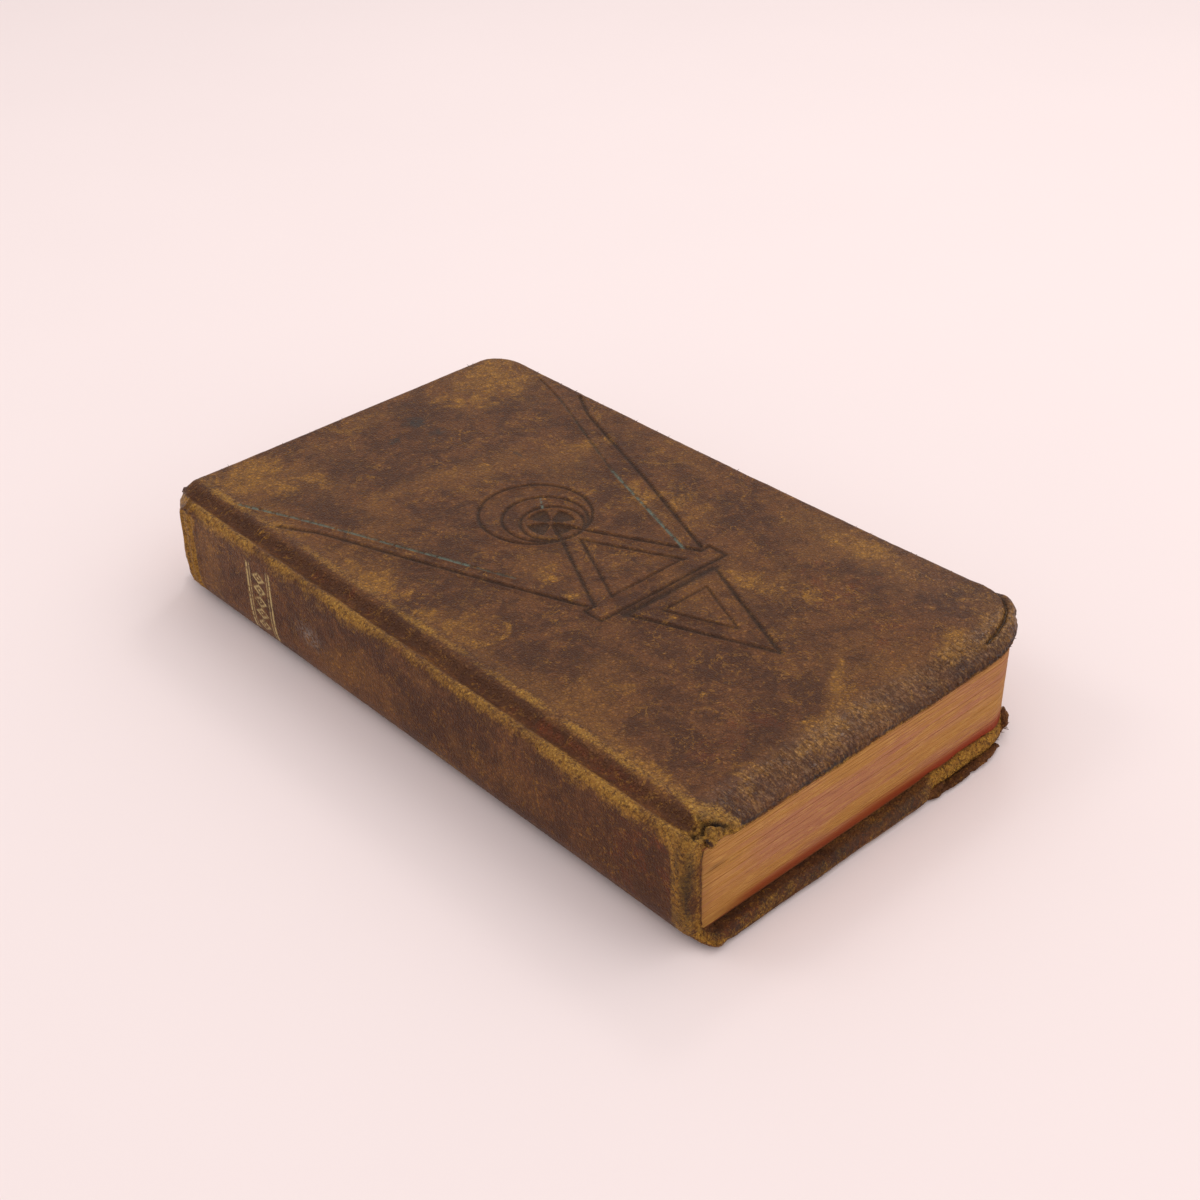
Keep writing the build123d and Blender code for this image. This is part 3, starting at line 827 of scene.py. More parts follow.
    def ridges(self, points: np.ndarray) -> np.ndarray:
        """1 along the rubbed ridges beside the joint and along the spine's lower edge."""
        x, z = points[:, 0], points[:, 2]
        if self.front:
            shoulder = bell(np.minimum(np.abs(x + 46.1), 3) + np.maximum(0, 22.6 - z) * 0.42, 1.9)
            board = bell(x + 39.6, 1.6) * (z > 22.6)
            lower = bell(np.hypot(x + 45.9, z - 3.6), 2.1)
            return np.clip(shoulder + 0.8 * board + 0.7 * lower, 0, 1)
        return np.clip(bell(np.hypot(x + 45.0, z - 2.4), 2.2) + 0.6 * bell(x + 39.3, 1.0) * (z < 1.2), 0, 1)


# ------------------------------------------------------------------ shader nodes

class Nodes:
    """Shorthand for building a node tree."""

    def __init__(self, tree: NodeTree) -> None:
        """Starts on an empty or new tree."""
        self.tree = tree

    def add(self, kind: str, settings: dict | None = None, **inputs) -> Node:
        """Adds a node.

        Args:
            kind: Blender's name of the node type.
            settings: properties to set on the node.
            inputs: value or source socket for each named input, with _ for a space.
        Returns:
            The node.
        """
        node = self.tree.nodes.new(kind)
        for key, value in (settings or {}).items():
            setattr(node, key, value)
        for key, value in inputs.items():
            self.feed(node.inputs[key.replace("_", " ")], value)
        return node

    def feed(self, socket: NodeSocket, value) -> None:
        """Links a socket to the input, or sets the input's own value."""
        if isinstance(value, NodeSocket):
            self.tree.links.new(value, socket)
        elif value is not None:
            if socket.type == "RGBA" and len(value) == 3:
                value = (*value, 1.0)
            socket.default_value = value

    def times(self, a, b, clamp: bool = False) -> NodeSocket:
        """a x b."""
        return self.math("MULTIPLY", a, b, clamp=clamp)

    def plus(self, a, b, clamp: bool = False) -> NodeSocket:
        """a + b."""
        return self.math("ADD", a, b, clamp=clamp)

    def minus(self, a, b, clamp: bool = False) -> NodeSocket:
        """a - b."""
        return self.math("SUBTRACT", a, b, clamp=clamp)

    def scaled(self, a, share, start, clamp: bool = False) -> NodeSocket:
        """a x share + start."""
        return self.math("MULTIPLY_ADD", a, share, start, clamp=clamp)

    def math(self, operation: str, a, b=None, c=None, clamp: bool = False) -> NodeSocket:
        """One sum on numbers."""
        node = self.add("ShaderNodeMath", dict(operation=operation, use_clamp=clamp))
        for socket, value in zip(node.inputs, (a, b, c)):
            self.feed(socket, value)
        return node.outputs[0]

    def step(self, value, low: float, high: float) -> NodeSocket:
        """A soft step from 0 at low to 1 at high."""
        node = self.add("ShaderNodeMapRange", dict(interpolation_type="SMOOTHSTEP"), Value=value)
        node.inputs["From Min"].default_value = low
        node.inputs["From Max"].default_value = high
        return node.outputs[0]

    def mix(self, share, a, b) -> NodeSocket:
        """A colour between a and b."""
        node = self.tree.nodes.new("ShaderNodeMix")
        node.data_type = "RGBA"
        for socket, value in ((node.inputs[0], share), (node.inputs[6], a), (node.inputs[7], b)):
            self.feed(socket, value)
        return node.outputs[2]

    def attribute(self, name: str) -> NodeSocket:
        """A number stored on the mesh."""
        return self.add("ShaderNodeAttribute", dict(attribute_name=name)).outputs["Fac"]

    def spots(self, vector, size_mm: float, detail: float = 3.0, roughness: float = 0.55,
              distortion: float = 0.0) -> NodeSocket:
        """Cloudy noise around 0.5 with lumps of about that size."""
        node = self.add("ShaderNodeTexNoise", Vector=vector, Scale=1 / (size_mm * MM), Detail=detail,
                        Roughness=roughness, Distortion=distortion)
        return node.outputs[0]

    def place(self, stretch: tuple[float, float, float] = (1, 1, 1),
              turn: tuple[float, float, float] = (0, 0, 0)) -> NodeSocket:
        """The object's own coordinates, stretched or turned."""
        vector = self.add("ShaderNodeTexCoord").outputs["Object"]
        if stretch == (1, 1, 1) and turn == (0, 0, 0):
            return vector
        return self.add("ShaderNodeMapping", Vector=vector, Scale=stretch, Rotation=turn).outputs[0]

    def group(self, tree: NodeTree, **inputs) -> Node:
        """Places a node group."""
        node = self.tree.nodes.new("ShaderNodeGroup")
        node.node_tree = tree
        for key, value in inputs.items():
            self.feed(node.inputs[key.replace("_", " ")], value)
        return node


def new_group(name: str, inputs: dict[str, str],
              outputs: dict[str, str]) -> tuple[NodeTree, Nodes, dict, dict]:
    """Starts a shader node group.

    Args:
        name: the group's name.
        inputs: kind of each named input.
        outputs: kind of each named output.
    Returns:
        The tree, its shorthand, its input sockets and its output sockets.
    """
    tree = bpy.data.node_groups.new(name, "ShaderNodeTree")
    kinds = dict(number="NodeSocketFloat", vector="NodeSocketVector")
    for key, kind in inputs.items():
        tree.interface.new_socket(key, in_out="INPUT", socket_type=kinds[kind])
    for key, kind in outputs.items():
        tree.interface.new_socket(key, in_out="OUTPUT", socket_type=kinds[kind])
    kit = Nodes(tree)
    source = kit.add("NodeGroupInput")
    sink = kit.add("NodeGroupOutput")
    return tree, kit, {k: source.outputs[k] for k in inputs}, {k: sink.inputs[k] for k in outputs}


class Effects:
    """Node groups that several finishes share."""

    def __init__(self) -> None:
        """Builds every group once."""
        self.grain = self.make_grain()
        self.blotch = self.make_blotch()
        self.rub = self.make_rub()
        self.fibre = self.make_fibre()

    @staticmethod
    def make_grain() -> NodeTree:
        """Fine creases between the pebbles of a hide, with pores."""
        tree, kit, given, result = new_group("hide grain", dict(Vector="vector", Cell="number"),
                                             dict(Height="number", Crease="number"))
        warp = kit.add("ShaderNodeTexNoise", Vector=given["Vector"], Scale=900.0, Detail=2.0)
        shift = kit.add("ShaderNodeVectorMath", dict(operation="MULTIPLY_ADD"))
        kit.feed(shift.inputs[0], warp.outputs["Color"])
        shift.inputs[1].default_value = (0.0006, 0.0006, 0.0006)
        kit.feed(shift.inputs[2], given["Vector"])
        cells = kit.add("ShaderNodeTexVoronoi", dict(feature="DISTANCE_TO_EDGE"), Vector=shift.outputs[0],
                        Scale=given["Cell"])
        coarse = kit.add("ShaderNodeTexVoronoi", dict(feature="DISTANCE_TO_EDGE"), Vector=shift.outputs[0],
                         Scale=kit.times(given["Cell"], 0.37))
        fine = kit.add("ShaderNodeTexNoise", Vector=given["Vector"], Scale=4200.0, Detail=3.0)
        pebble = kit.step(cells.outputs["Distance"], 0.0, 0.26)
        fold = kit.step(coarse.outputs["Distance"], 0.0, 0.09)
        crease = kit.times(kit.minus(1.0, pebble), 0.8)
        crease = kit.math("MAXIMUM", crease, kit.times(kit.minus(1.0, fold), 0.9))
        height = kit.scaled(crease, -0.8, kit.times(fine.outputs[0], 0.5))
        kit.feed(result["Height"], height)
        kit.feed(result["Crease"], crease)
        return tree

    @staticmethod
    def make_blotch() -> NodeTree:
        """Cloudy patches whose share grows with a bias."""
        tree, kit, given, result = new_group("blotches", dict(Vector="vector", Scale="number", Bias="number",
                                                              Softness="number"), dict(Mask="number"))
        cloud = kit.add("ShaderNodeTexNoise", Vector=given["Vector"], Scale=given["Scale"], Detail=8.0,
                        Roughness=0.70, Distortion=0.9)
        total = kit.plus(cloud.outputs[0], given["Bias"])
        shifted = kit.minus(total, 0.5)
        mask = kit.math("DIVIDE", shifted, given["Softness"], clamp=True)
        kit.feed(result["Mask"], mask)
        return tree

    @staticmethod
    def make_rub() -> NodeTree:
        """Granular rubbing: specks that join up as the amount grows."""
        tree, kit, given, result = new_group("rubbed", dict(Vector="vector", Amount="number"), dict(Mask="number"))
        speck = kit.add("ShaderNodeTexNoise", Vector=given["Vector"], Scale=2300.0, Detail=4.0, Roughness=0.7)
        patch = kit.add("ShaderNodeTexNoise", Vector=given["Vector"], Scale=420.0, Detail=3.0)
        total = kit.scaled(speck.outputs[0], 0.9, kit.times(patch.outputs[0], 0.6))
        total = kit.plus(kit.minus(total, 1.25), given["Amount"])
        kit.feed(result["Mask"], kit.math("DIVIDE", total, 0.35, clamp=True))
        return tree

    @staticmethod
    def make_fibre() -> NodeTree:
        """Long thin streaks along one direction of the vector given."""
        tree, kit, given, result = new_group("streaks", dict(Vector="vector", Scale="number"),
                                             dict(Mask="number", Height="number"))
        fine = kit.add("ShaderNodeTexNoise", Vector=given["Vector"], Scale=given["Scale"], Detail=5.0, Roughness=0.65)
        broad = kit.add("ShaderNodeTexNoise", Vector=given["Vector"], Scale=kit.times(given["Scale"], 0.28),
                        Detail=4.0)
        kit.feed(result["Mask"], kit.scaled(fine.outputs[0], 0.5,
                                            kit.times(broad.outputs[0], 0.5)))
        kit.feed(result["Height"], fine.outputs[0])
        return tree


# ------------------------------------------------------------------ finishes

def start_material(name: str) -> tuple[Material, Nodes, Node]:
    """An empty material with its surface shader.

    Args:
        name: the material's name.
    Returns:
        The material, the shorthand for its nodes and the shader node.
    """
    material = bpy.data.materials.new(name)
    material.use_nodes = True
    kit = Nodes(material.node_tree)
    shader = next(n for n in material.node_tree.nodes if n.type == "BSDF_PRINCIPLED")
    return material, kit, shader


@dataclass(frozen=True)
class LeatherFinish:
    """Old brown calf, darkened by handling and rubbed to tan where it was held, with painted shade and highlights along
    the tail edges.
    """

    name: str = "worn brown leather"
    deep: tuple = (0.063, 0.0208, 0.0070)
    brown: tuple = (0.162, 0.0600, 0.0185)
    honey: tuple = (0.228, 0.0940, 0.0220)
    ochre: tuple = (0.385, 0.174, 0.023)
    rust: tuple = (0.215, 0.040, 0.010)
    tan: tuple = (0.545, 0.284, 0.044)
    # colour of ink stains, also used for painted shade on the tail edges
    ink: tuple = (0.030, 0.024, 0.021)
    line: tuple = (0.022, 0.013, 0.009)
    torn: tuple = (0.018, 0.012, 0.009)
    verdigris: tuple = (0.185, 0.270, 0.225)
    gold: tuple = (0.620, 0.470, 0.200)
    scuff: tuple = (0.260, 0.215, 0.185)
    # painted highlight colour on the wrinkle crests
    crest_highlight: tuple = (0.370, 0.205, 0.080)
    grain_cell: float = 1250.0

    def make(self, effects: Effects) -> Material:
        """Builds the material."""
        material, kit, shader = start_material(self.name)
        where = kit.place()
        marks = {n: kit.attribute(n) for n in ("ochre", "wear_and_highlight", "tool", "green", "ink", "rust", "gold", "scuff",
                                               "raw", "dull", "polish")}
        grain = kit.group(effects.grain, Vector=where, Cell=self.grain_cell)
        cloud = kit.scaled(kit.spots(where, 12.0, 6.0, 0.6, 0.8), 0.5,
                           kit.times(kit.spots(where, 3.4, 6.0, 0.7, 0.9), 0.5))
        colour = kit.mix(kit.step(cloud, 0.42, 0.58), self.deep, self.brown)
        haze = kit.plus(kit.spots(where, 24.0, 7.0, 0.68, 0.6), kit.times(marks["ochre"], 0.9))
        colour = kit.mix(kit.times(kit.step(haze, 0.46, 0.70), 0.70), colour, self.honey)
        patches = kit.group(effects.blotch, Vector=where, Scale=150.0, Bias=kit.minus(marks["ochre"], 0.10),
                            Softness=0.10)
        speckle = kit.step(kit.spots(where, 1.6, 8.0, 0.85, 0.8), 0.46, 0.53)
        ochre = kit.times(patches.outputs[0], kit.scaled(speckle, 0.72, 0.18))
        colour = kit.mix(ochre, colour, self.ochre)
        dregs = kit.group(effects.blotch, Vector=where, Scale=210.0, Softness=0.08,
                          Bias=kit.scaled(marks["ochre"], -0.8, -0.08))
        colour = kit.mix(kit.times(dregs.outputs[0], 0.65), colour, self.deep)
        rust = kit.group(effects.blotch, Vector=where, Scale=140.0, Bias=kit.minus(marks["rust"], 0.17),
                         Softness=0.20)
        colour = kit.mix(kit.times(rust.outputs[0], 0.60), colour, self.rust)
        vein = kit.math("ABSOLUTE", kit.minus(kit.spots(where, 8.0, 5.0, 0.6, 1.8), 0.5))
        vein = kit.times(kit.step(vein, 0.016, 0.0), kit.step(kit.spots(where, 7.0, 3.0), 0.44, 0.60))
        colour = kit.mix(kit.times(vein, 0.75), colour, self.ochre)
        mote = kit.spots(where, 0.9, 6.0, 0.82)
        colour = kit.mix(kit.times(kit.step(mote, 0.51, 0.60), 0.62), colour, self.deep)
        colour = kit.mix(kit.times(kit.step(mote, 0.44, 0.36), 0.55), colour, self.ochre)
        colour = kit.mix(kit.times(grain.outputs["Crease"], 0.55), colour, self.deep)
        # painted shade in the folds and painted highlight on the crests of fine wrinkles, in the polished band along
        # the tail edge
        wrinkle = kit.spots(kit.place(stretch=(1, 0.34, 0.6)), 0.46, 3.0, 0.55, 0.5)
        wrinkle_light_band = kit.step(marks["polish"], 0.14, 0.40)
        fold = kit.times(kit.step(wrinkle, 0.51, 0.42), wrinkle_light_band)
        crest = kit.times(kit.step(wrinkle, 0.53, 0.66), wrinkle_light_band)
        colour = kit.mix(kit.times(fold, 0.38), colour, self.deep)
        colour = kit.mix(kit.times(crest, 0.27), colour, self.crest_highlight)
        # ink stains, together with painted shade on the rolled tail side, in the crimp valleys and on the back cover's
        # turn-in
        ink = kit.group(effects.blotch, Vector=where, Scale=420.0, Bias=kit.minus(marks["ink"], 0.24),
                        Softness=0.30)
        colour = kit.mix(kit.times(ink.outputs[0], 0.78), colour, self.ink)
        rub = kit.group(effects.rub, Vector=where, Amount=marks["wear_and_highlight"])
        rubbed = kit.times(rub.outputs[0], kit.scaled(grain.outputs["Crease"], -0.5, 1.0))
        grit = kit.step(kit.spots(where, 0.55, 5.0, 0.8), 0.44, 0.56)
        worn = kit.mix(grit, self.ochre, self.tan)
        colour = kit.mix(kit.times(rubbed, 0.84), colour, worn)
        soot = kit.times(kit.step(kit.spots(where, 0.75, 5.0, 0.85), 0.51, 0.58),
                         kit.step(marks["wear_and_highlight"], 0.15, 0.6))
        colour = kit.mix(kit.times(soot, 0.80), colour, self.deep)
        scuff = kit.times(marks["scuff"], kit.step(kit.spots(where, 0.8, 4.0, 0.7), 0.42, 0.62))
        colour = kit.mix(scuff, colour, self.scuff)
        # dark colour of torn and grimy leather, also used as painted shade on the back cover's turn-in
        colour = kit.mix(kit.times(marks["raw"], 0.8, clamp=True), colour, self.torn)
        colour = kit.mix(kit.times(marks["tool"], 0.74), colour, self.line)
        flake = kit.step(kit.spots(where, 1.3, 5.0, 0.75), 0.38, 0.54)
        green = kit.times(kit.times(marks["green"], flake), 0.68)
        colour = kit.mix(green, colour, self.verdigris)
        leaf = kit.times(marks["gold"], kit.step(kit.spots(where, 0.7, 4.0, 0.7), 0.36, 0.50))
        colour = kit.mix(leaf, colour, self.gold)
        kit.feed(shader.inputs["Base Color"], colour)
        gloss = kit.scaled(rubbed, 0.06, kit.scaled(cloud, 0.16, 0.36))
        dull = kit.times(marks["dull"], 0.25)
        kit.feed(shader.inputs["Roughness"], kit.plus(gloss, dull, clamp=True))
        kit.feed(shader.inputs["Metallic"], kit.times(leaf, 0.6))
        shader.inputs["Specular IOR Level"].default_value = 0.13
        shader.inputs["Coat Roughness"].default_value = 0.27
        smoothed = kit.scaled(grain.outputs["Crease"], -0.6, 0.8)
        kit.feed(shader.inputs["Coat Weight"], kit.times(marks["polish"], smoothed))
        height = kit.scaled(rub.outputs[0], -0.5, grain.outputs["Height"])
        nap = kit.times(kit.spots(where, 0.28, 4.0, 0.75), kit.scaled(rubbed, 1.1, 0.15))
        height = kit.plus(kit.plus(height, nap), kit.times(fold, -0.65))
        bump = kit.add("ShaderNodeBump", Strength=0.9, Distance=0.00024, Height=height)
        kit.feed(shader.inputs["Normal"], bump.outputs[0])
        return material


@dataclass(frozen=True)
class EdgeFinish:
    """Red-stained leaf edges whose stain has worn to gold and pink streaks."""

    name: str = "stained leaf edges"
    pink: tuple = (0.372, 0.148, 0.070)
    gold: tuple = (0.414, 0.192, 0.040)
    red: tuple = (0.250, 0.034, 0.009)
    dark: tuple = (0.100, 0.040, 0.015)
    flake: tuple = (0.620, 0.360, 0.095)

    def make(self, effects: Effects) -> Material:
        """Builds the material."""
        material, kit, shader = start_material(self.name)
        lengthwise = kit.place(stretch=(1, 1, 26))
        streaks = kit.group(effects.fibre, Vector=lengthwise, Scale=95.0)
        broad = kit.spots(kit.place(stretch=(1, 1, 6)), 26.0, 4.0, 0.5)
        mask = kit.scaled(broad, 0.8, kit.times(streaks.outputs["Mask"], 1.0))
        lean = kit.plus(mask, kit.attribute("gilt"))
        colour = kit.mix(kit.times(kit.step(lean, 0.76, 1.06), 0.85), self.pink, self.gold)
        hair = kit.spots(kit.place(stretch=(1, 1, 60)), 14.0, 4.0, 0.7)
        colour = kit.mix(kit.times(kit.step(hair, 0.52, 0.70), 0.40), colour, self.gold)
        fleck = kit.spots(kit.place(stretch=(1, 1, 16)), 4.5, 5.0, 0.78)
        colour = kit.mix(kit.times(kit.step(fleck, 0.52, 0.62), 0.42), colour, self.flake)
        colour = kit.mix(kit.times(kit.step(fleck, 0.44, 0.34), 0.30), colour, self.dark)
        here_and_there = kit.step(kit.spots(kit.place(stretch=(1, 1, 9)), 34.0, 3.0, 0.5), 0.40, 0.60)
        gaps = kit.times(kit.step(hair, 0.46, 0.30), here_and_there)
        colour = kit.mix(kit.times(gaps, 0.34), colour, self.dark)
        colour = kit.mix(kit.attribute("stain"), colour, self.red)
        # a dirt spot, and painted shade along the spine side and under the front cover
        colour = kit.mix(kit.attribute("soil_and_shade"), colour, self.dark)
        kit.feed(shader.inputs["Base Color"], colour)
        shader.inputs["Roughness"].default_value = 0.62
        shader.inputs["Specular IOR Level"].default_value = 0.2
        bump = kit.add("ShaderNodeBump", Strength=0.4, Distance=0.00006, Height=hair)
        kit.feed(shader.inputs["Normal"], bump.outputs[0])
        return material


@dataclass(frozen=True)
class PaperFinish:
    """Aged paper or card with faint fibres and foxing."""

    name: str
    light: tuple
    toned: tuple
    fox: tuple = (0.36, 0.20, 0.09)
    foxing: float = 0.5
    weave: bool = False
    edge: tuple = (0.200, 0.055, 0.018)
    corner: float = 10.0

    def trimmed(self, kit: Nodes) -> NodeSocket:
        """1 along the trimmed outline of a leaf, 0 inside it."""
        _, high = node_box("pages")
        at = kit.add("ShaderNodeSeparateXYZ", Vector=kit.place()).outputs
        past = [kit.math("MAXIMUM", kit.minus(value, (reach - self.corner) * MM), 0.0)
                for value, reach in ((at["X"], high[0]), (kit.math("ABSOLUTE", at["Y"]), high[1]))]
        reach = kit.math("SQRT", kit.plus(*[kit.times(p, p) for p in past]))
        return kit.step(reach, (self.corner - 0.7) * MM, (self.corner - 0.3) * MM)

    def make(self, effects: Effects) -> Material:
        """Builds the material."""
        material, kit, shader = start_material(self.name)
        where = kit.place()
        cloud = kit.spots(where, 22.0, 5.0, 0.6)
        colour = kit.mix(kit.step(cloud, 0.35, 0.68), self.light, self.toned)
        spots = kit.group(effects.blotch, Vector=where, Scale=420.0, Bias=-0.21, Softness=0.12)
        colour = kit.mix(kit.times(spots.outputs[0], self.foxing), colour, self.fox)
        fibres = kit.spots(kit.place(stretch=(1, 4, 1), turn=(0, 0, 0.5)), 0.9, 4.0, 0.7)
        colour = kit.mix(kit.times(kit.step(fibres, 0.50, 0.75), 0.25), colour, self.toned)
        facing = kit.add("ShaderNodeSeparateXYZ", Vector=kit.add("ShaderNodeNewGeometry").outputs["Normal"])
        level = kit.times(facing.outputs["Z"], facing.outputs["Z"])
        inside = kit.minus(1.0, self.trimmed(kit))
        colour = kit.mix(kit.times(level, inside), self.edge, colour)
        kit.feed(shader.inputs["Base Color"], colour)
        shader.inputs["Roughness"].default_value = 0.85
        shader.inputs["Specular IOR Level"].default_value = 0.25
        height = fibres
        if self.weave:
            wave = [kit.add("ShaderNodeTexWave", dict(bands_direction=d, wave_profile="SIN"), Vector=where,
                            Scale=420.0, Distortion=0.4).outputs[0] for d in ("Y", "Z")]
            height = kit.plus(fibres, kit.math("MAXIMUM", *wave))
        bump = kit.add("ShaderNodeBump", Strength=0.4, Distance=0.00005, Height=height)
        kit.feed(shader.inputs["Normal"], bump.outputs[0])
        return material


@dataclass(frozen=True)
class FloorFinish:
    """Plain pale paper sheet under the book."""

    name: str = "pale floor"
    tint: tuple = (0.890, 0.775, 0.770)

    def make(self) -> Material:
        """Builds the material."""
        material, kit, shader = start_material(self.name)
        cloud = kit.spots(kit.place(), 90.0, 2.0)
        darker = tuple(0.975 * c for c in self.tint)
        kit.feed(shader.inputs["Base Color"], kit.mix(cloud, self.tint, darker))
        shader.inputs["Roughness"].default_value = 0.9
        shader.inputs["Specular IOR Level"].default_value = 0.1
        return material


def dress(piece: Object, material: Material) -> None:
    """Gives a piece one material."""
    piece.data.materials.clear()
    piece.data.materials.append(material)


# ------------------------------------------------------------------ leather covers

OCHRE_TOP = [
    Blob(-30, 68, 7, 8, 0.22), Blob(-22, 60, 4, 9, 0.16), Blob(-33, 50, 6, 8, 0.10), Blob(-10, 71, 14, 4, 0.10),
    Blob(38, 70, 9, 9, 0.25), Blob(30, 60, 8, 8, 0.16), Blob(20, 63, 5, 8, 0.14), Blob(3, 41, 9, 7, 0.20),
    Blob(-22, 35, 9, 5, 0.14), Blob(7, -15, 4, 5, 0.16), Blob(-29, -36, 7, 9, 0.15), Blob(-22, -42, 9, 4, 0.09),
    Blob(-35, 18, 4, 12, 0.12), Blob(-34, -8, 5, 14, 0.10), Blob(40, -38, 4, 13, 0.20), Blob(25, 2, 8, 10, 0.12),
    Blob(30, 30, 9, 12, 0.10), Blob(-14, -3, 6, 8, 0.10), Blob(6, -60, 1.2, 9, 0.26, -0.9), Blob(-3, 26, 2, 14, 0.12),
    Blob(14, -30, 4, 7, 0.14), Blob(30, -72, 16, 4, 0.05), Blob(-38.5, -62, 3, 10, 0.24)]
DEEP_TOP = [
    Blob(5, -66, 32, 10, 0.05), Blob(8, 52, 18, 14, 0.16), Blob(-8, -50, 18, 14, 0.06), Blob(30, -20, 10, 24, 0.02),
    Blob(-24, -18, 12, 9, 0.10), Blob(-20, 38, 10, 8, 0.06), Blob(-34, -62, 8, 9, 0.10),
    Blob(-10, 30, 12, 10, 0.08)]
RUST_TOP = [Blob(30, -40, 12, 16, 0.20), Blob(-20, -62, 16, 8, 0.20), Blob(26, 62, 12, 8, 0.12),
            Blob(-42.5, -40, 2, 26, 0.30), Blob(-42.5, 30, 2, 20, 0.18), Blob(20, -60, 14, 8, 0.14)]
INK_TOP = [Blob(8.8, 63, 2.6, 3.2, 0.62), Blob(0, 59.6, 2.2, 1.4, 0.55), Blob(8.8, 56, 2.8, 2.2, 0.5),
           Blob(15.2, 37.5, 0.9, 3.2, 0.55), Blob(4, 66, 3, 2, 0.32), Blob(-5, 54, 2, 2, 0.25),
           Blob(12, 68, 2, 3, 0.25)]


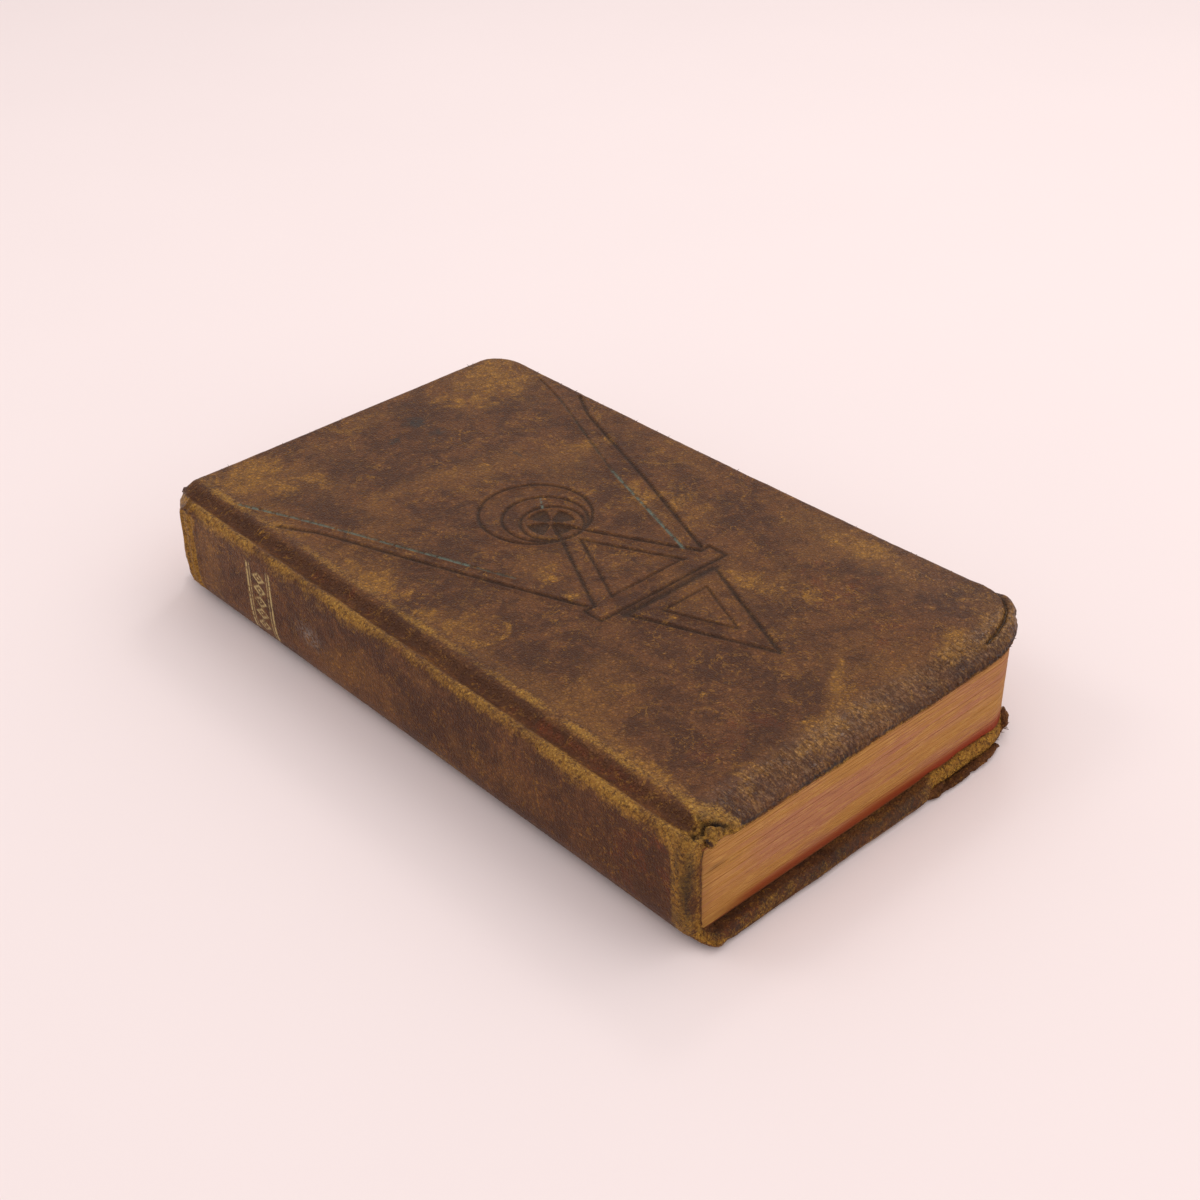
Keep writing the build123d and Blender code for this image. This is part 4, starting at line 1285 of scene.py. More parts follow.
@dataclass
class Colouring:
    """Paints the leather's wear, stains and remains as attributes, with painted shade and highlights along the tail
    edges.
    """

    skin: Skin
    facts: dict

    def paint(self, piece: Object) -> None:
        """Stores every mask on the piece."""
        f, points = self.facts, positions(piece)
        x, y, z = points.T
        ring, xy = f["ring"], f["xy"]
        front = self.skin.front
        n = len(x)
        ochre, rust, ink, scuff, gold, f["polish"] = (np.zeros(n) for _ in range(6))
        turned_in = smooth(ring, 10.5, 11.5)
        rounding = smooth(ring, 0.5, 4.0) * (1 - smooth(ring, 6.5, 8.5))
        side = smooth(ring, 5.0, 7.0) * (1 - turned_in)
        on_spine = smooth(-x, 44.5, 46.3)
        ridge = f["ridge"]
        wear_and_highlight = (0.90 if front else 0.62) * ridge * (0.85 + 0.30 * noise(points, 6.0, 41))
        wear_and_highlight += 0.10 * noise(points, 12.0, 42)
        wear_and_highlight += 0.30 * rounding * (0.9 + 0.5 * noise(points, 5.0, 43)) + (0.55 if front else 0.22) * side
        if front:
            top = (1 - on_spine) * (1 - smooth(ring, 1, 6))
            ochre += (0.8 * stained(OCHRE_TOP, xy) - 0.01) * top
            ochre -= stained(DEEP_TOP, xy) * top
            ochre += (0.10 * bell(x + 37.5, 2.4) + 0.03 * smooth(x, 2, 20)) * top
            rust += stained(RUST_TOP, xy) * top
            ink += stained(INK_TOP, xy) * top
            groove = bell(x + 42.4, 1.25) * (z > 21.8) * (ring < 7)
            ochre -= 0.35 * groove
            wear_and_highlight -= 0.35 * groove
            wear_and_highlight += 0.50 * bell(x + 37.8, 3.0) * smooth(-y, 64, 73) * (z > 18)
            wear_and_highlight += 0.30 * smooth(-y, 68, 75) * bell(x + 44, 4)
            crimp = f["crimp"]
            f["polish"] = 0.46 * smooth(f["tail"], 7.5, 3.0) * smooth(x, -40, -34) * (1 - side) + 0.16 * ridge
            f["polish"] += 0.22 * smooth(x, 22, 44) * smooth(-y, 10, 60) * top
            # rubbed tops of the crimps, partly a painted highlight on them
            wear_and_highlight += 0.34 * np.clip(crimp, 0, 1)
            under = (y < -60) * smooth(x, -40, -34)
            mottle = 0.8 + 0.4 * noise(points, 6.0, 44)
            # painted shade: a dark band on the rolled-down side under the tail shoulder, and in the crimp valleys
            ink += 0.50 * under * smooth(ring, 3.2, 5.4) * (1 - smooth(ring, 7, 8.5)) * mottle
            ink += 0.30 * np.clip(-crimp, 0, 1) * under
            face = on_spine * (z < 21.5)
            ochre += face * (0.16 * noise(points, 10.0, 46) - 0.05
                             + 0.04 * smooth(y, 30, 62) - 0.20 * smooth(-y, 40, 62))
            rust += face * (0.12 * smooth(-y, 48, 66) + 0.06)
            wear_and_highlight += face * 0.16 * smooth(z, 17.5, 21.5)
            wear_and_highlight += face * 0.42 * bell(y + 12, 15) * bell(z - 3.6, 2.6)
            wear_and_highlight -= 0.25 * bell(z - 3.2, 1.6) * (x < -44)
            tail_end = face * smooth(-y, 70.9, 72.0)
            wear_and_highlight += 0.74 * tail_end + 0.95 * face * smooth(y, 64.5, 67.5)
            knot = bell(x + 42.0, 3.6) * smooth(-y, 69.0, 72.0) * (z > 14)
            grime = smooth(noise(points * [1, 1, 0.35], 1.3, 17), -0.10, 0.5)
            grimy = tail_end * (0.45 * grime + 0.42 * bell(y + 74.4, 1.1))
            grimy += 0.62 * knot * smooth(noise(points, 1.4, 19), -0.05, 0.45)
            # painted highlight: a lighter ochre band along the tail shoulder, about 4.5 mm in from the edge
            ochre += 0.16 * bell(f["tail"] - 4.5, 4.5) * (1 - side) * smooth(x, -36, -28)
            folds = np.abs(np.sin(math.pi * (y / 1.7 + 0.4 * noise(points, 6.0, 15))))
            ink += face * 0.52 * smooth(y, 62, 66) * smooth(folds, 0.50, 0.12)
            # pale worn fringe along the lowest edge; less rubbing on the rolled side keeps its painted shade dark
            wear_and_highlight += (0.3 * under * smooth(ring, 7.5, 9) * (1 - turned_in)
                     - 0.30 * under * smooth(ring, 2.6, 5) * (1 - smooth(ring, 7, 8.5)))
            scuff += face * 0.8 * bell(y - 27, 3.4) * bell(z - 12, 2.0)
            gold += face * self.ornament(points)
            wear_and_highlight += 0.75 * f["crumbs"]
            f["raw"] = (np.clip(f["crack"] * 1.2, 0, 1) + grimy + 0.85 * f["rim"]
                        + 0.55 * (smooth(ring, 9.5, 11) * (1 - smooth(ring, 12, 13))))
            cap = ((x < -42.6) & (y < 0)) * smooth(ring, 2.2, 3.2)
            wear_and_highlight -= 0.46 * cap
            ink += cap * (0.26 + 0.35 * bell(ring - 3.2, 0.9))
        else:
            wear_and_highlight += 0.18 * noise(points, 16.0, 47)
            ochre += 0.12 * noise(points, 24.0, 48) - 0.02
            rust += 0.12 * noise(points, 20.0, 49)
            wear_and_highlight += 0.25 * smooth(ring, 5, 8) * (1 - smooth(ring, 12, 13))
            wear_and_highlight += 0.6 * side * smooth(x, 13, 17) * (y < -60)
            rust += 0.3 * side
            # darker side; on the turn-in beside and under the leaves partly dirt, partly painted shade
            ink += 0.45 * side * (1 - smooth(x, 13, 17) * (y < -60)) + 0.2 * smooth(ring, 10, 12)
            # near-black turn-in beside and under the leaves: partly dirt, partly painted shade
            f["raw"] = 0.55 * smooth(ring, 11.5, 12.5) * (1 - smooth(ring, 13.5, 14.5))
        ochre += 0.07 * noise(points, 10.0, 45)
        masks = dict(ochre=ochre, wear_and_highlight=np.clip(wear_and_highlight, 0, 1.4), tool=f["tool"], green=f["green"], ink=ink, rust=rust,
                     gold=gold, scuff=scuff, raw=f["raw"], dull=np.clip(side + turned_in, 0, 1),
                     polish=np.clip(f["polish"], 0, 1))
        for name, values in masks.items():
            paint(piece, name, values)

    @staticmethod
    def ornament(points: np.ndarray) -> np.ndarray:
        """Two worn gilt rules across the spine with a row of small lozenges between them."""
        y, z = points[:, 1], points[:, 2]
        reach = smooth(z, 3.6, 4.4) * smooth(z, 20.4, 19.6)
        rules = np.maximum(bell(y - 39.4, 0.26), bell(y - 47.0, 0.26))
        thin = np.maximum(bell(y - 40.3, 0.14), bell(y - 46.1, 0.14)) * 0.8
        lozenges = np.zeros(len(y))
        for centre in (6.4, 9.2, 12.0, 14.8, 17.6):
            d = np.abs(y - 43.2) / 1.9 + np.abs(z - centre) / 1.15
            lozenges = np.maximum(lozenges, bell(d - 0.9, 0.2))
            lozenges = np.maximum(lozenges, smooth(d, 0.32, 0.18))
        return np.clip(np.maximum(rules, thin) * reach + lozenges, 0, 1)


# ------------------------------------------------------------------ loose leather and fibres

STRIP_MARGIN = 0.03  # how far a strip stays inside the book's own box
FIBRE_MARGIN = 0.01  # the same for a fibre
FIBRE_SHARE = 0.45  # share of the places along an edge that carry a fibre
FIBRE_WEAR = 0.45  # how pale the fibres are
FRONT_EDGE_Z = dict(fore=22.7, head=22.7, tail=21.4)  # height of the front cover's frayed edges
BACK_EDGE_Z = 1.6  # height of the back cover's frayed tail edge
EDGE_POINTS = 120  # points on the line that carries an edge's fibres


@dataclass
class Strip:
    """A torn or peeled strip of leather that follows a line."""

    name: str
    path: list
    widths: list
    thickness: float
    body: Body
    wear_and_highlight: float
    seed: int
    tilt: float = 0.0
    ragged: float = 0.25
    step: float = 0.35
    jitter: float = 0.08

    def build(self, finish: Material) -> Object:
        """Makes the strip with ragged edges and closed ends."""
        control = np.array(self.path, float)
        at = np.r_[0, np.cumsum(np.linalg.norm(np.diff(control, axis=0), axis=1))]
        count = max(8, int(at[-1] / self.step))
        t = np.linspace(0, at[-1], count)
        line = np.stack([np.interp(t, at, control[:, k]) for k in range(3)], axis=1)
        kernel = np.ones(5) / 5
        for k in range(3):
            line[2:-2, k] = np.convolve(line[:, k], kernel, "valid")
        ahead = np.gradient(line, axis=0)
        ahead /= np.linalg.norm(ahead, axis=1)[:, None] + TINY
        up = np.array([0, math.sin(self.tilt), math.cos(self.tilt)])
        across = np.cross(up, ahead)
        across /= np.linalg.norm(across, axis=1)[:, None] + TINY
        rise = np.cross(ahead, across)
        half = np.interp(t, at, self.widths) / 2
        loop = 16
        points, faces = [], []
        for k in range(loop):
            a = 2 * math.pi * k / loop
            c, s = math.cos(a), math.sin(a)
            wide = np.sign(c) * abs(c) ** 0.45
            thick = np.sign(s) * abs(s) ** 0.6
            place = np.c_[t, np.full(count, 7.0 * k / loop), np.zeros(count)]
            jag = 1 + self.ragged * noise(place, 1.1, self.seed) * abs(c)
            points.append(line + across * (half * wide * jag)[:, None] + rise * (self.thickness / 2 * thick))
        grid = np.stack(points, axis=1)
        flat = grid.reshape(-1, 3)
        flat = flat + self.jitter * np.stack([rough(flat, 0.8, self.seed + k) for k in range(3)], axis=1)
        low, high = CAD_BOX_MM
        flat = np.clip(flat, low + STRIP_MARGIN, high - STRIP_MARGIN)
        for i in range(count - 1):
            for k in range(loop):
                n = (k + 1) % loop
                faces.append((i * loop + k, i * loop + n, (i + 1) * loop + n, (i + 1) * loop + k))
        faces.append(tuple(range(loop))[::-1])
        faces.append(tuple((count - 1) * loop + k for k in range(loop)))
        piece = new_piece(self.name, flat, faces)
        fix_normals(piece)
        dress(piece, finish)
        points = positions(piece)
        paint(piece, "wear_and_highlight", self.wear_and_highlight + 0.2 * rough(points, 2.0, self.seed + 5))
        paint(piece, "dull", np.ones(len(points)))
        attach(piece, self.body.value)
        return piece


def fix_normals(piece: Object) -> None:
    """Turns the faces of a closed piece outwards."""
    bm = bmesh.new()
    bm.from_mesh(piece.data)
    bmesh.ops.recalc_face_normals(bm, faces=bm.faces)
    bm.to_mesh(piece.data)
    bm.free()


@dataclass
class Fray:
    """Short broken fibres that stand out of a worn edge."""

    name: str
    body: Body
    path: np.ndarray
    out: np.ndarray
    count: int
    length: float
    radius: float
    seed: int
    spread: float = 0.8

    @staticmethod
    def tree() -> NodeTree:
        """Geometry nodes that plant bent, tapered fibres along a line."""
        tree = bpy.data.node_groups.new("frayed edge", "GeometryNodeTree")
        tree.is_modifier = True
        face = tree.interface
        face.new_socket("Geometry", in_out="INPUT", socket_type="NodeSocketGeometry")
        for name in ("Length", "Radius", "Spread"):
            face.new_socket(name, in_out="INPUT", socket_type="NodeSocketFloat")
        for name in ("Count", "Seed"):
            face.new_socket(name, in_out="INPUT", socket_type="NodeSocketInt")
        face.new_socket("Finish", in_out="INPUT", socket_type="NodeSocketMaterial")
        face.new_socket("Geometry", in_out="OUTPUT", socket_type="NodeSocketGeometry")
        kit = Nodes(tree)
        given = kit.add("NodeGroupInput").outputs
        curve = kit.add("GeometryNodeMeshToCurve", Mesh=given["Geometry"])
        dense = kit.add("GeometryNodeResampleCurve", Curve=curve.outputs[0], Count=given["Count"])
        stored = kit.add("GeometryNodeInputNamedAttribute", dict(data_type="FLOAT_VECTOR"), Name="out")
        wild = kit.add("FunctionNodeRandomValue", dict(data_type="FLOAT_VECTOR"), Seed=given["Seed"])
        low = kit.times(given["Spread"], -1.0)
        kit.feed(wild.inputs[0], kit.add("ShaderNodeCombineXYZ", X=low, Y=low, Z=low).outputs[0])
        kit.feed(wild.inputs[1], kit.add("ShaderNodeCombineXYZ", X=given["Spread"], Y=given["Spread"],
                                         Z=given["Spread"]).outputs[0])
        aim = kit.add("ShaderNodeVectorMath", dict(operation="ADD"))
        kit.feed(aim.inputs[0], stored.outputs[0])
        kit.feed(aim.inputs[1], wild.outputs[0])
        turn = kit.add("FunctionNodeAlignRotationToVector", dict(axis="Z"), Vector=aim.outputs[0])
        hair = kit.add("GeometryNodeMeshCone", dict(fill_type="NONE"), Vertices=4, Side_Segments=4, Radius_Top=0.25,
                       Radius_Bottom=1.0, Depth=1.0)
        at = kit.add("ShaderNodeSeparateXYZ", Vector=kit.add("GeometryNodeInputPosition").outputs[0])
        bend = kit.add("ShaderNodeCombineXYZ", X=kit.times(kit.math("POWER", at.outputs["Z"], 2.0), 2.6))
        bent = kit.add("GeometryNodeSetPosition", Geometry=hair.outputs[0], Offset=bend.outputs[0])
        fat = kit.add("FunctionNodeRandomValue", Seed=kit.plus(given["Seed"], 3.0))
        fat.inputs[2].default_value, fat.inputs[3].default_value = 0.6, 1.3
        long = kit.add("FunctionNodeRandomValue", Seed=kit.plus(given["Seed"], 9.0))
        long.inputs[2].default_value, long.inputs[3].default_value = 0.25, 1.0
        wide = kit.times(fat.outputs[1], given["Radius"])
        tall = kit.times(long.outputs[1], given["Length"])
        size = kit.add("ShaderNodeCombineXYZ", X=wide, Y=wide, Z=tall)
        some = kit.add("FunctionNodeRandomValue", dict(data_type="BOOLEAN"), Probability=FIBRE_SHARE,
                       Seed=kit.plus(given["Seed"], 17.0))
        planted = kit.add("GeometryNodeInstanceOnPoints", Points=dense.outputs[0], Selection=some.outputs[3],
                          Instance=bent.outputs[0], Rotation=turn.outputs[0], Scale=size.outputs[0])
        real = kit.add("GeometryNodeRealizeInstances", Geometry=planted.outputs[0])
        finish = kit.add("GeometryNodeSetMaterial", Geometry=real.outputs[0], Material=given["Finish"])
        kit.add("NodeGroupOutput", Geometry=finish.outputs[0])
        return tree

    def build(self, tree: NodeTree, finish: Material, wear_and_highlight: float) -> Object:
        """Plants the fibres and keeps them as a plain mesh."""
        mesh = bpy.data.meshes.new(self.name)
        n = len(self.path)
        mesh.from_pydata((self.path * MM).tolist(), [(k, k + 1) for k in range(n - 1)], [])
        layer = mesh.attributes.new("out", "FLOAT_VECTOR", "POINT")
        layer.data.foreach_set("vector", self.out.astype(np.float32).ravel())
        piece = bpy.data.objects.new(self.name, mesh)
        bpy.context.scene.collection.objects.link(piece)
        values = dict(Length=self.length * MM, Radius=self.radius * MM, Spread=self.spread, Count=self.count,
                      Seed=self.seed, Finish=finish)
        piece = grown(piece, tree, values)
        low, high = CAD_BOX_MM
        points = np.clip(positions(piece), low + FIBRE_MARGIN, high - FIBRE_MARGIN)
        place_vertices(piece, points)
        paint(piece, "wear_and_highlight", np.full(len(points), wear_and_highlight))
        paint(piece, "dull", np.ones(len(points)))
        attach(piece, self.body.value)
        return piece


def edge_line(plan: CoverPlan, z: float, low: float, high: float, count: int,
              side: str) -> tuple[np.ndarray, np.ndarray]:
    """A stretch of a cover's edge with the directions that point away from the cover.

    Args:
        plan: the cover's outline.
        z: height of the line.
        low: share of the edge where the line starts.
        high: share where it ends.
        count: points on the line.
        side: "tail", "fore" or "head".
    Returns:
        The points and their outward directions.
    """
    line = along(plan.arcs()[("tail", "fore", "head").index(side)], np.linspace(low, high, count))
    ahead = np.gradient(line, axis=0)
    ahead /= np.linalg.norm(ahead, axis=1)[:, None] + TINY
    sign = -1 if side == "head" else 1
    out = np.c_[ahead[:, 1], -ahead[:, 0]] * sign
    line = line + out * (plan.edge_round - 0.15)
    return np.c_[line, np.full(count, z)], np.c_[out, np.zeros(count)]


# ------------------------------------------------------------------ leaves and papers

def rounded_block(low: np.ndarray, high: np.ndarray, corner: float, back: float, steps: int = 10) -> np.ndarray:
    """Outline of a sheet in plan, counter-clockwise.

    Args:
        low: smallest X and Y.
        high: largest X and Y.
        corner: rounding at the fore-edge.
        back: rounding at the spine side.
        steps: points on each rounding.
    Returns:
        Points of the outline.
    """
    out = []
    places = [((high[0], low[1]), corner, -90), ((high[0], high[1]), corner, 0),
              ((low[0], high[1]), back, 90), ((low[0], low[1]), back, 180)]
    for (x, y), r, start in places:
        cx = x - r if x == high[0] else x + r
        cy = y - r if y == high[1] else y + r
        for t in np.radians(np.linspace(start, start + 90, steps + 1)):
            out.append((cx + r * math.cos(t), cy + r * math.sin(t)))
    return np.array(out)


@dataclass
class LeafBlock:
    """The trimmed leaves, as many thin bundles that lie a little unevenly on each other."""

    sizes: BookSizes
    bundles: int = 96
    fore_corner: float = 10.0
    back_corner: float = 0.8
    unevenness: float = 0.06
    seed: int = 7

    def outline(self) -> Object:
        """The trimmed shape of one leaf, as a closed line."""
        low, high = self.sizes.leaf_low, self.sizes.leaf_high
        inset = self.unevenness
        line = rounded_block(low[:2] + [0, inset], high[:2] - inset, self.fore_corner - inset, self.back_corner)
        dense = []
        for a, b in zip(line, np.roll(line, -1, axis=0)):
            count = max(1, int(np.linalg.norm(b - a) / 2.5))
            dense += [a + (b - a) * t for t in np.arange(count) / count]
        flat = np.c_[np.array(dense), np.zeros(len(dense))]
        mesh = bpy.data.meshes.new("leaf outline")
        mesh.from_pydata((flat * MM).tolist(), [(k, (k + 1) % len(flat)) for k in range(len(flat))], [])
        piece = bpy.data.objects.new("leaves", mesh)
        bpy.context.scene.collection.objects.link(piece)
        return piece

    def tree(self) -> NodeTree:
        """Geometry nodes that stack the bundles, shift each one a little and ripple its edge."""
        tree = bpy.data.node_groups.new("stacked leaves", "GeometryNodeTree")
        tree.is_modifier = True
        face = tree.interface
        face.new_socket("Geometry", in_out="INPUT", socket_type="NodeSocketGeometry")
        for name in ("Bottom", "Height", "Unevenness"):
            face.new_socket(name, in_out="INPUT", socket_type="NodeSocketFloat")
        for name in ("Bundles", "Seed"):
            face.new_socket(name, in_out="INPUT", socket_type="NodeSocketInt")
        face.new_socket("Finish", in_out="INPUT", socket_type="NodeSocketMaterial")
        face.new_socket("Geometry", in_out="OUTPUT", socket_type="NodeSocketGeometry")
        kit = Nodes(tree)
        given = kit.add("NodeGroupInput").outputs
        curve = kit.add("GeometryNodeMeshToCurve", Mesh=given["Geometry"])
        filled = kit.add("GeometryNodeFillCurve", Curve=curve.outputs[0])
        pitch = kit.math("DIVIDE", given["Height"], given["Bundles"])
        up = kit.add("ShaderNodeCombineXYZ", Z=pitch)
        thick = kit.add("GeometryNodeExtrudeMesh", dict(mode="FACES"), Mesh=filled.outputs[0], Offset=up.outputs[0],
                        Offset_Scale=1.0)
        start = kit.add("ShaderNodeCombineXYZ", Z=given["Bottom"])
        line = kit.add("GeometryNodeMeshLine", Count=given["Bundles"], Start_Location=start.outputs[0],
                       Offset=up.outputs[0])
        spread = kit.times(given["Unevenness"], 0.8)
        less = kit.times(spread, -1.0)
        shift = kit.add("FunctionNodeRandomValue", dict(data_type="FLOAT_VECTOR"), Seed=given["Seed"])
        kit.feed(shift.inputs[0], kit.add("ShaderNodeCombineXYZ", X=less, Y=less).outputs[0])
        kit.feed(shift.inputs[1], kit.add("ShaderNodeCombineXYZ", X=spread, Y=spread).outputs[0])
        placed = kit.add("GeometryNodeSetPosition", Geometry=line.outputs[0], Offset=shift.outputs[0])
        stacked = kit.add("GeometryNodeInstanceOnPoints", Points=placed.outputs[0], Instance=thick.outputs[0])
        real = kit.add("GeometryNodeRealizeInstances", Geometry=stacked.outputs[0])
        here = kit.add("GeometryNodeInputPosition")
        squeeze = kit.add("ShaderNodeVectorMath", dict(operation="MULTIPLY"))
        kit.feed(squeeze.inputs[0], here.outputs[0])
        squeeze.inputs[1].default_value = (60.0, 60.0, 1400.0)
        wave = kit.add("ShaderNodeTexNoise", Vector=squeeze.outputs[0], Scale=1.0, Detail=2.0)
        centred = kit.add("ShaderNodeVectorMath", dict(operation="SUBTRACT"))
        kit.feed(centred.inputs[0], wave.outputs["Color"])
        centred.inputs[1].default_value = (0.5, 0.5, 0.5)
        amount = kit.add("ShaderNodeCombineXYZ", X=given["Unevenness"], Y=given["Unevenness"])
        ripple = kit.add("ShaderNodeVectorMath", dict(operation="MULTIPLY"))
        kit.feed(ripple.inputs[0], centred.outputs[0])
        kit.feed(ripple.inputs[1], amount.outputs[0])
        rippled = kit.add("GeometryNodeSetPosition", Geometry=real.outputs[0], Offset=ripple.outputs[0])
        finish = kit.add("GeometryNodeSetMaterial", Geometry=rippled.outputs[0], Material=given["Finish"])
        kit.add("NodeGroupOutput", Geometry=finish.outputs[0])
        return tree

    def build(self, finish: Material) -> Object:
        """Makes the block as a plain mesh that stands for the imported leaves."""
        piece = self.outline()
        low, high = self.sizes.leaf_low, self.sizes.leaf_high
        values = dict(Bottom=low[2] * MM, Height=(high[2] - low[2]) * MM, Unevenness=self.unevenness * MM,
                      Bundles=self.bundles, Seed=self.seed, Finish=finish)
        piece = grown(piece, self.tree(), values)
        self.trim(piece)
        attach(piece, Body.TEXT.value)
        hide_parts("pages")
        return piece

    def trim(self, piece: Object) -> None:
        """Paints the stained and soiled places of the edges, and painted shade along the spine side and under the front
        cover.
        """
        points = positions(piece)
        x, y, z = points.T
        edge = 2.9 + 0.9 * noise(points, 11.0, 51) + 0.9 * smooth(x, -10, 30)
        low = smooth(z - self.sizes.leaf_low[2], edge.clip(1.2), 0.7)
        stain = 1.0 * low * (0.85 + 0.15 * smooth(x, -20, 30)) * smooth(x, -41, -30)
        stain += 0.25 * smooth(z, 19.2, 20.6) * smooth(x, -10, 30)
        # a dirt spot below the crack, and painted shade along the spine side and under the front cover
        soil_and_shade = 0.8 * bell((x + 39.6) / 1.6, 1.0) * bell((z - 15.4) / 0.5, 1.0) * (y < -70)
        soil_and_shade += 0.5 * smooth(x, -42.2, -43.6) + 0.35 * smooth(z, 20.2, 20.8)
        paint(piece, "stain", np.clip(stain, 0, 1))
        paint(piece, "soil_and_shade", np.clip(soil_and_shade, 0, 1))
        cloudy = noise(points * [1, 1, 4.0], 22.0, 52) + 0.6 * noise(points * [1, 1, 6.0], 9.0, 53)
        gilt = -0.16 * bell(z - 13.5 - 0.06 * x, 4.0) * smooth(x, -40, -28) + 0.08 * bell(z - 8.0 - 0.10 * x, 2.0)
        gilt += 0.20 * smooth(x, -18, -42) + 0.24 * smooth(x, 18, 44) + 0.05 * bell(z - 18.5, 1.3) + 0.10 * cloudy
        paint(piece, "gilt", gilt)


def grown(piece: Object, tree: NodeTree, values: dict) -> Object:
    """Runs a geometry node tree on a piece and keeps the result as a plain mesh.

    Args:
        piece: the object that the tree starts from.
        tree: the geometry node tree.
        values: value of each named input.
    Returns:
        The piece with its finished mesh.
    """
    modifier = piece.modifiers.new("growth", "NODES")
    modifier.node_group = tree
    for item in tree.interface.items_tree:
        if item.in_out == "INPUT" and item.name in values:
            modifier[item.identifier] = values[item.name]
    piece.update_tag()
    bpy.context.view_layer.update()
    graph = bpy.context.evaluated_depsgraph_get()
    mesh = bpy.data.meshes.new_from_object(piece.evaluated_get(graph))
    piece.modifiers.clear()
    piece.data = mesh
    return piece


@dataclass
class JointPaper:
    """The fold of an endpaper across the joint, from the first leaf to the board."""

    name: str
    sizes: BookSizes
    front: bool
    reach: float = 7.0
    rows: int = 40

    def build(self, finish: Material) -> Object:
        """Makes the folded strip."""
        leaf_z = self.sizes.leaf_high[2] + 0.30 if self.front else self.sizes.leaf_low[2] - 0.30
        board_z = self.sizes.front_inner + 0.1 if self.front else self.sizes.back_inner - 0.1
        fold_x = -43.1
        t = np.linspace(0, 1, 9)
        profile = [(fold_x + self.reach * (1 - k), leaf_z) for k in t]
        middle, half = (leaf_z + board_z) / 2, (board_z - leaf_z) / 2
        profile += [(fold_x - 0.5 * math.sin(a), middle - half * math.cos(a)) for a in np.linspace(0, math.pi, 9)[1:-1]]
        profile += [(fold_x + self.reach * k, board_z) for k in t]
        ys = np.linspace(self.sizes.leaf_low[1] + 0.6, self.sizes.leaf_high[1] - 0.6, self.rows)
        points, faces = [], []
        m = len(profile)
        paste_low, paste_high = node_box("front_pastedown" if self.front else "back_pastedown")
        middle_y, span = (paste_low[1] + paste_high[1]) / 2, (paste_high[1] - paste_low[1]) / 2
        for y in ys:
            narrow = middle_y + y / abs(ys[0]) * (span - 0.3)
            share = smooth(np.arange(m), 9, 18)
            points += [(px, y + (narrow - y) * k, pz) for (px, pz), k in zip(profile, share)]
        for j in range(self.rows - 1):
            for i in range(m - 1):
                quad = (j * m + i, (j + 1) * m + i, (j + 1) * m + i + 1, j * m + i + 1)
                faces.append(quad if self.front else quad[::-1])
        piece = new_piece(self.name, np.array(points), faces)
        dress(piece, finish)
        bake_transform(piece)
        return piece


# ------------------------------------------------------------------ stage

@dataclass(frozen=True)
class Lamp:
    """One round area light that points at the book."""

    name: str
    place: tuple[float, float, float]
    size: float
    power: float


LAMPS = (Lamp("key", (380, -160, 620), 0.7, 0.88),
         Lamp("sheen", (400, 240, 525), 0.14, 0.34),
         Lamp("front", (60, -700, 480), 0.7, 0.72),
         Lamp("back", (-330, 360, 520), 0.25, 0.44))


@dataclass
class Stage:
    """Pale floor, soft lights and the camera."""

    azimuth: float = -42.91
    elevation: float = 33.70
    roll: float = -0.20
    distance: float = 366.72
    target: tuple[float, float, float] = (0.18, -4.43, 14.0)
    lens: float = 56.1
    floor_size: float = 12000.0
    sky: tuple = (1.0, 0.965, 0.955, 1)
    sky_strength: float = 0.85
    lamp_colour: tuple = (1.0, 0.975, 0.95)
    aim: tuple[float, float, float] = (0, 0, 10)

    def build(self) -> None:
        """Adds everything around the book."""
        self.floor()
        self.camera()
        self.lights()

    def floor(self) -> None:
        """A wide flat sheet under the book."""
        h = self.floor_size / 2
        points = np.array([(-h, -h, 0), (h, -h, 0), (h, h, 0), (-h, h, 0)])
        sheet = new_piece("floor", points, [(0, 1, 2, 3)], shade=False)
        dress(sheet, FloorFinish().make())

    def camera(self) -> None:
        """The camera, looking down across the spine and the tail."""
        a, e = math.radians(self.azimuth), math.radians(self.elevation)
        back = Vector((math.sin(a) * math.cos(e), -math.cos(a) * math.cos(e), math.sin(e)))
        data = bpy.data.cameras.new("camera")
        data.lens = self.lens
        data.sensor_width = 36.0
        data.clip_start = 0.01
        eye = bpy.data.objects.new("camera", data)
        turn = back.to_track_quat("Z", "Y").to_matrix().to_4x4()
        eye.matrix_world = turn
        eye.rotation_euler = turn.to_euler()
        eye.rotation_euler.rotate_axis("Z", math.radians(self.roll))
        eye.location = (Vector(self.target) + back * self.distance) * MM
        bpy.context.scene.collection.objects.link(eye)
        bpy.context.scene.camera = eye

    def lights(self) -> None:
        """A pale surround with a large soft key light, a low sheen and two weaker fills."""
        scene = bpy.context.scene
        scene.view_settings.view_transform = "Standard"
        world = bpy.data.worlds.new("surround")
        world.use_nodes = True
        sky = world.node_tree.nodes["Background"]
        sky.inputs[0].default_value = self.sky
        sky.inputs[1].default_value = self.sky_strength
        scene.world = world
        for lamp in LAMPS:
            data = bpy.data.lights.new(lamp.name, "AREA")
            data.shape = "DISK"
            data.size = lamp.size
            data.energy = lamp.power
            data.color = self.lamp_colour
            light = bpy.data.objects.new(lamp.name, data)
            light.location = Vector(lamp.place) * MM
            aim = light.location - Vector(self.aim) * MM
            light.rotation_euler = aim.to_track_quat("Z", "Y").to_euler()
            scene.collection.objects.link(light)


# ------------------------------------------------------------------ the book

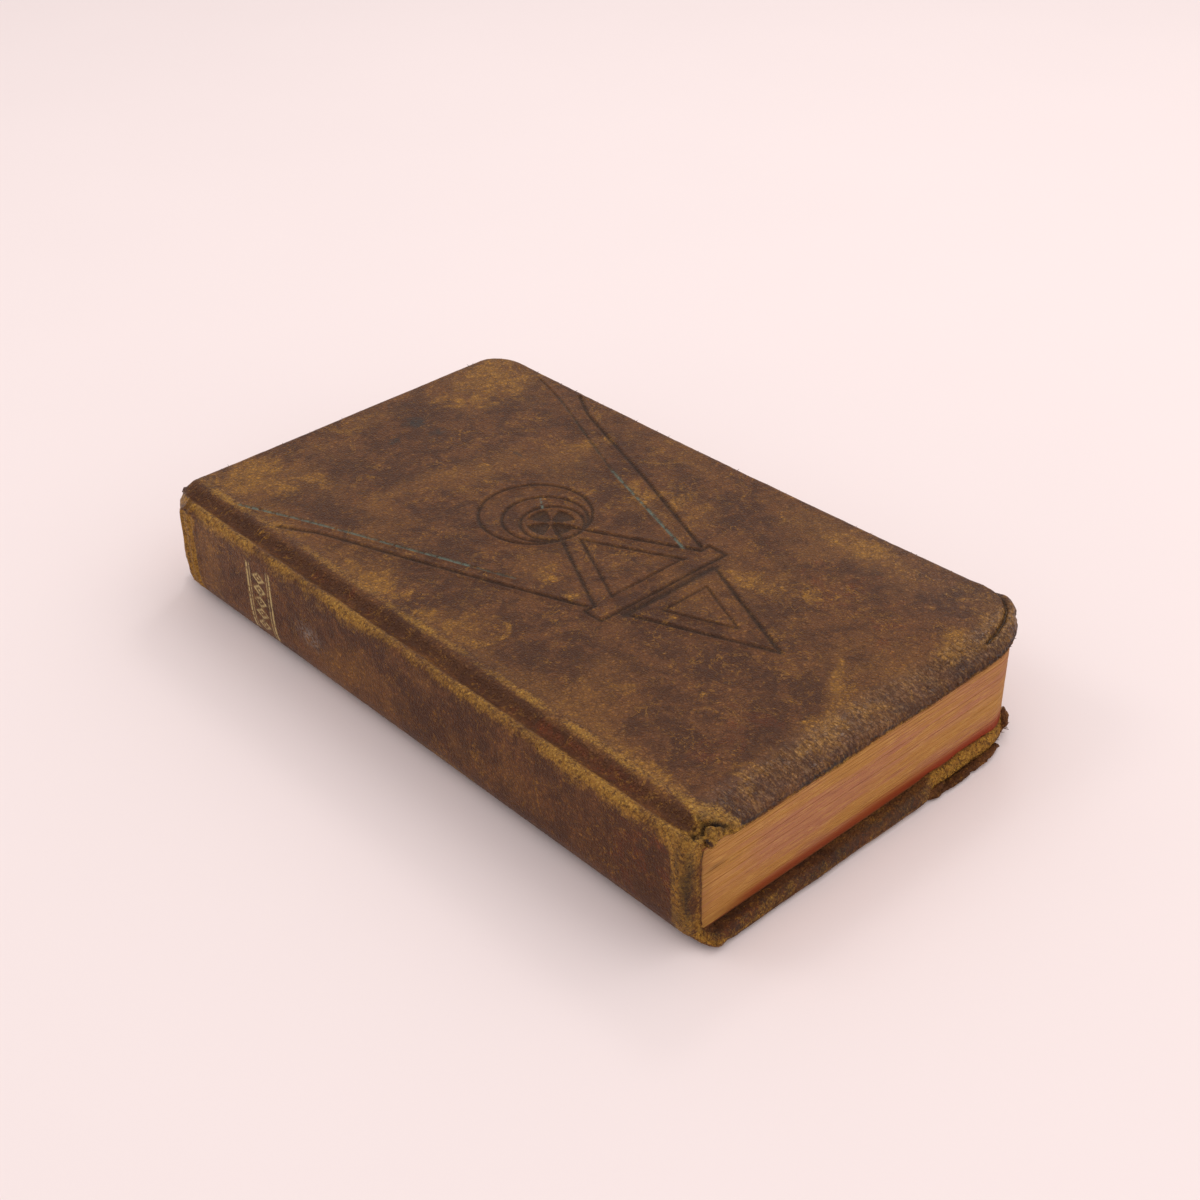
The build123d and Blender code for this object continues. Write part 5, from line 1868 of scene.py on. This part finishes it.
FRONT_PLAN = CoverPlan(inner_x=-37.0, tail=-75.7, head=75.9, head_fore=77.7, fore_tail=47.1, fore_head=44.9,
                       tail_corner=(18.0, 11.0), head_corner=(6.5, 8.5), edge_round=1.5, waist=0.8)
BACK_PLAN = CoverPlan(inner_x=-36.5, tail=-78.2, head=78.2, head_fore=78.3, fore_tail=46.6, fore_head=46.8,
                      tail_corner=(16.0, 15.0), head_corner=(10.5, 10.5), edge_round=1.2, step=(13.0, 1.7))


@dataclass
class Book:
    """The whole book, built in order from its boards to its papers."""

    sizes: BookSizes
    effects: Effects
    pieces: list = field(default_factory=list)

    def keep(self, piece: Object) -> Object:
        """Remembers a finished piece and reports it."""
        self.pieces.append(piece)
        log.info("%s: %d vertices", piece.name, len(piece.data.vertices))
        return piece

    def covers(self) -> None:
        """The leather of both covers and of the spine."""
        leather = LeatherFinish().make(self.effects)
        s = self.sizes
        front = Skin("front_skin", True, FRONT_PLAN, s, Tooling())
        piece, facts = front.build()
        Colouring(front, facts).paint(piece)
        dress(piece, leather)
        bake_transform(piece)
        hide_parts("front_leather", "spine_leather", "front_board", "spine_inlay")
        self.keep(piece)
        back = Skin("back_skin", False, BACK_PLAN, s, Tooling(), cover_columns=44, rows=80, levels=2, lip=1.25)
        piece, facts = back.build()
        Colouring(back, facts).paint(piece)
        dress(piece, leather)
        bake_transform(piece)
        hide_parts("back_leather", "back_board")
        self.keep(piece)
        self.loose_parts(leather, front.plan, back.plan)

    def loose_parts(self, leather: Material, front: CoverPlan, back: CoverPlan) -> None:
        """The torn and peeled strips on the back cover's tail edge, and the broken fibres."""
        strips = [
            Strip("peeled_strip", [(11.4, -76.9, 0.6), (14.5, -77.3, 0.6), (19, -77.2, 0.55), (26, -77.0, 0.6),
                                   (31, -76.8, 0.7), (34.2, -76.3, 0.9)], [0.8, 2.2, 2.6, 2.4, 2.3, 1.6], 0.75,
                  Body.BACK, 0.10, 61, tilt=0.25, ragged=0.45),
            Strip("bared_board_edge", [(14.0, -76.0, 1.55), (20, -75.9, 1.6), (28, -75.6, 1.7), (34, -74.9, 1.85),
                                       (38.6, -73.9, 2.1)], [0.8, 1.5, 1.6, 1.5, 0.9], 1.0,
                  Body.BACK, 0.95, 63, tilt=0.3),
            Strip("peel_start", [(11.0, -76.3, 0.9), (12.6, -76.9, 1.1), (14.4, -77.0, 1.2), (16.6, -76.8, 1.0),
                                 (18.4, -76.9, 0.8)], [0.5, 1.9, 2.2, 1.7, 0.5], 1.1,
                  Body.BACK, 0.30, 65, tilt=0.5, ragged=0.7),
            Strip("torn_tip", [(36.6, -74.9, 2.0), (38.0, -74.6, 2.3), (39.4, -73.9, 2.7), (40.9, -72.8, 3.0),
                               (41.9, -72.0, 3.1)], [0.6, 1.6, 2.0, 1.5, 0.4], 0.9,
                  Body.BACK, 0.40, 67, tilt=0.3, ragged=0.8),
        ]
        for strip in strips:
            self.keep(strip.build(leather))
        tree = Fray.tree()
        rows = []
        for side, low, high, count in (("fore", 0.05, 1.0, 230), ("head", 0.0, 1.0, 110), ("tail", 0.1, 1.0, 90)):
            path, out = edge_line(front, FRONT_EDGE_Z[side], low, high, EDGE_POINTS, side)
            rows.append(Fray("front_fibres_" + side, Body.FRONT, path, out, count, 1.05, 0.10, 71 + len(rows)))
        path, out = edge_line(back, BACK_EDGE_Z, 0.0, 1.0, EDGE_POINTS, "tail")
        rows.append(Fray("back_fibres_tail", Body.BACK, path, out, 260, 0.8, 0.06, 81))
        tip = np.array([(37.6, -74.6, 2.2), (38.6, -74.2, 2.5), (39.6, -73.6, 2.6), (40.6, -72.8, 2.6)])
        rows.append(Fray("back_corner_tuft", Body.BACK, tip, np.tile([0.55, -0.5, 0.35], (4, 1)), 130, 1.5, 0.24, 83,
                         spread=1.1))
        for row in rows:
            self.keep(row.build(tree, leather, FIBRE_WEAR))

    def papers(self) -> None:
        """Leaves, endpapers and spine layers."""
        edges = EdgeFinish().make(self.effects)
        cream = PaperFinish("aged endpaper", (0.62, 0.50, 0.34), (0.50, 0.37, 0.22)).make(self.effects)
        liner = PaperFinish("spine paper", (0.42, 0.34, 0.24), (0.33, 0.25, 0.16), foxing=0.3).make(self.effects)
        cloth = PaperFinish("spine cloth", (0.50, 0.42, 0.30), (0.40, 0.32, 0.21), foxing=0.1,
                            weave=True).make(self.effects)
        self.keep(LeafBlock(self.sizes).build(edges))
        for name, finish in dict(front_pastedown=cream, back_pastedown=cream, front_flyleaf=cream, back_flyleaf=cream,
                                 spine_lining=liner, spine_mull=cloth).items():
            dress(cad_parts[name], finish)
        for name, front in (("front_joint_paper", True), ("back_joint_paper", False)):
            self.keep(JointPaper(name, self.sizes, front).build(cream))


def main() -> None:
    """Builds the book and its stage, and logs the vertex count of each piece."""
    logging.basicConfig(level=logging.INFO, format="%(name)s %(message)s")
    Stage().build()
    book = Book(BookSizes.measured(), Effects())
    book.covers()
    book.papers()


if __name__ == "__main__":
    main()
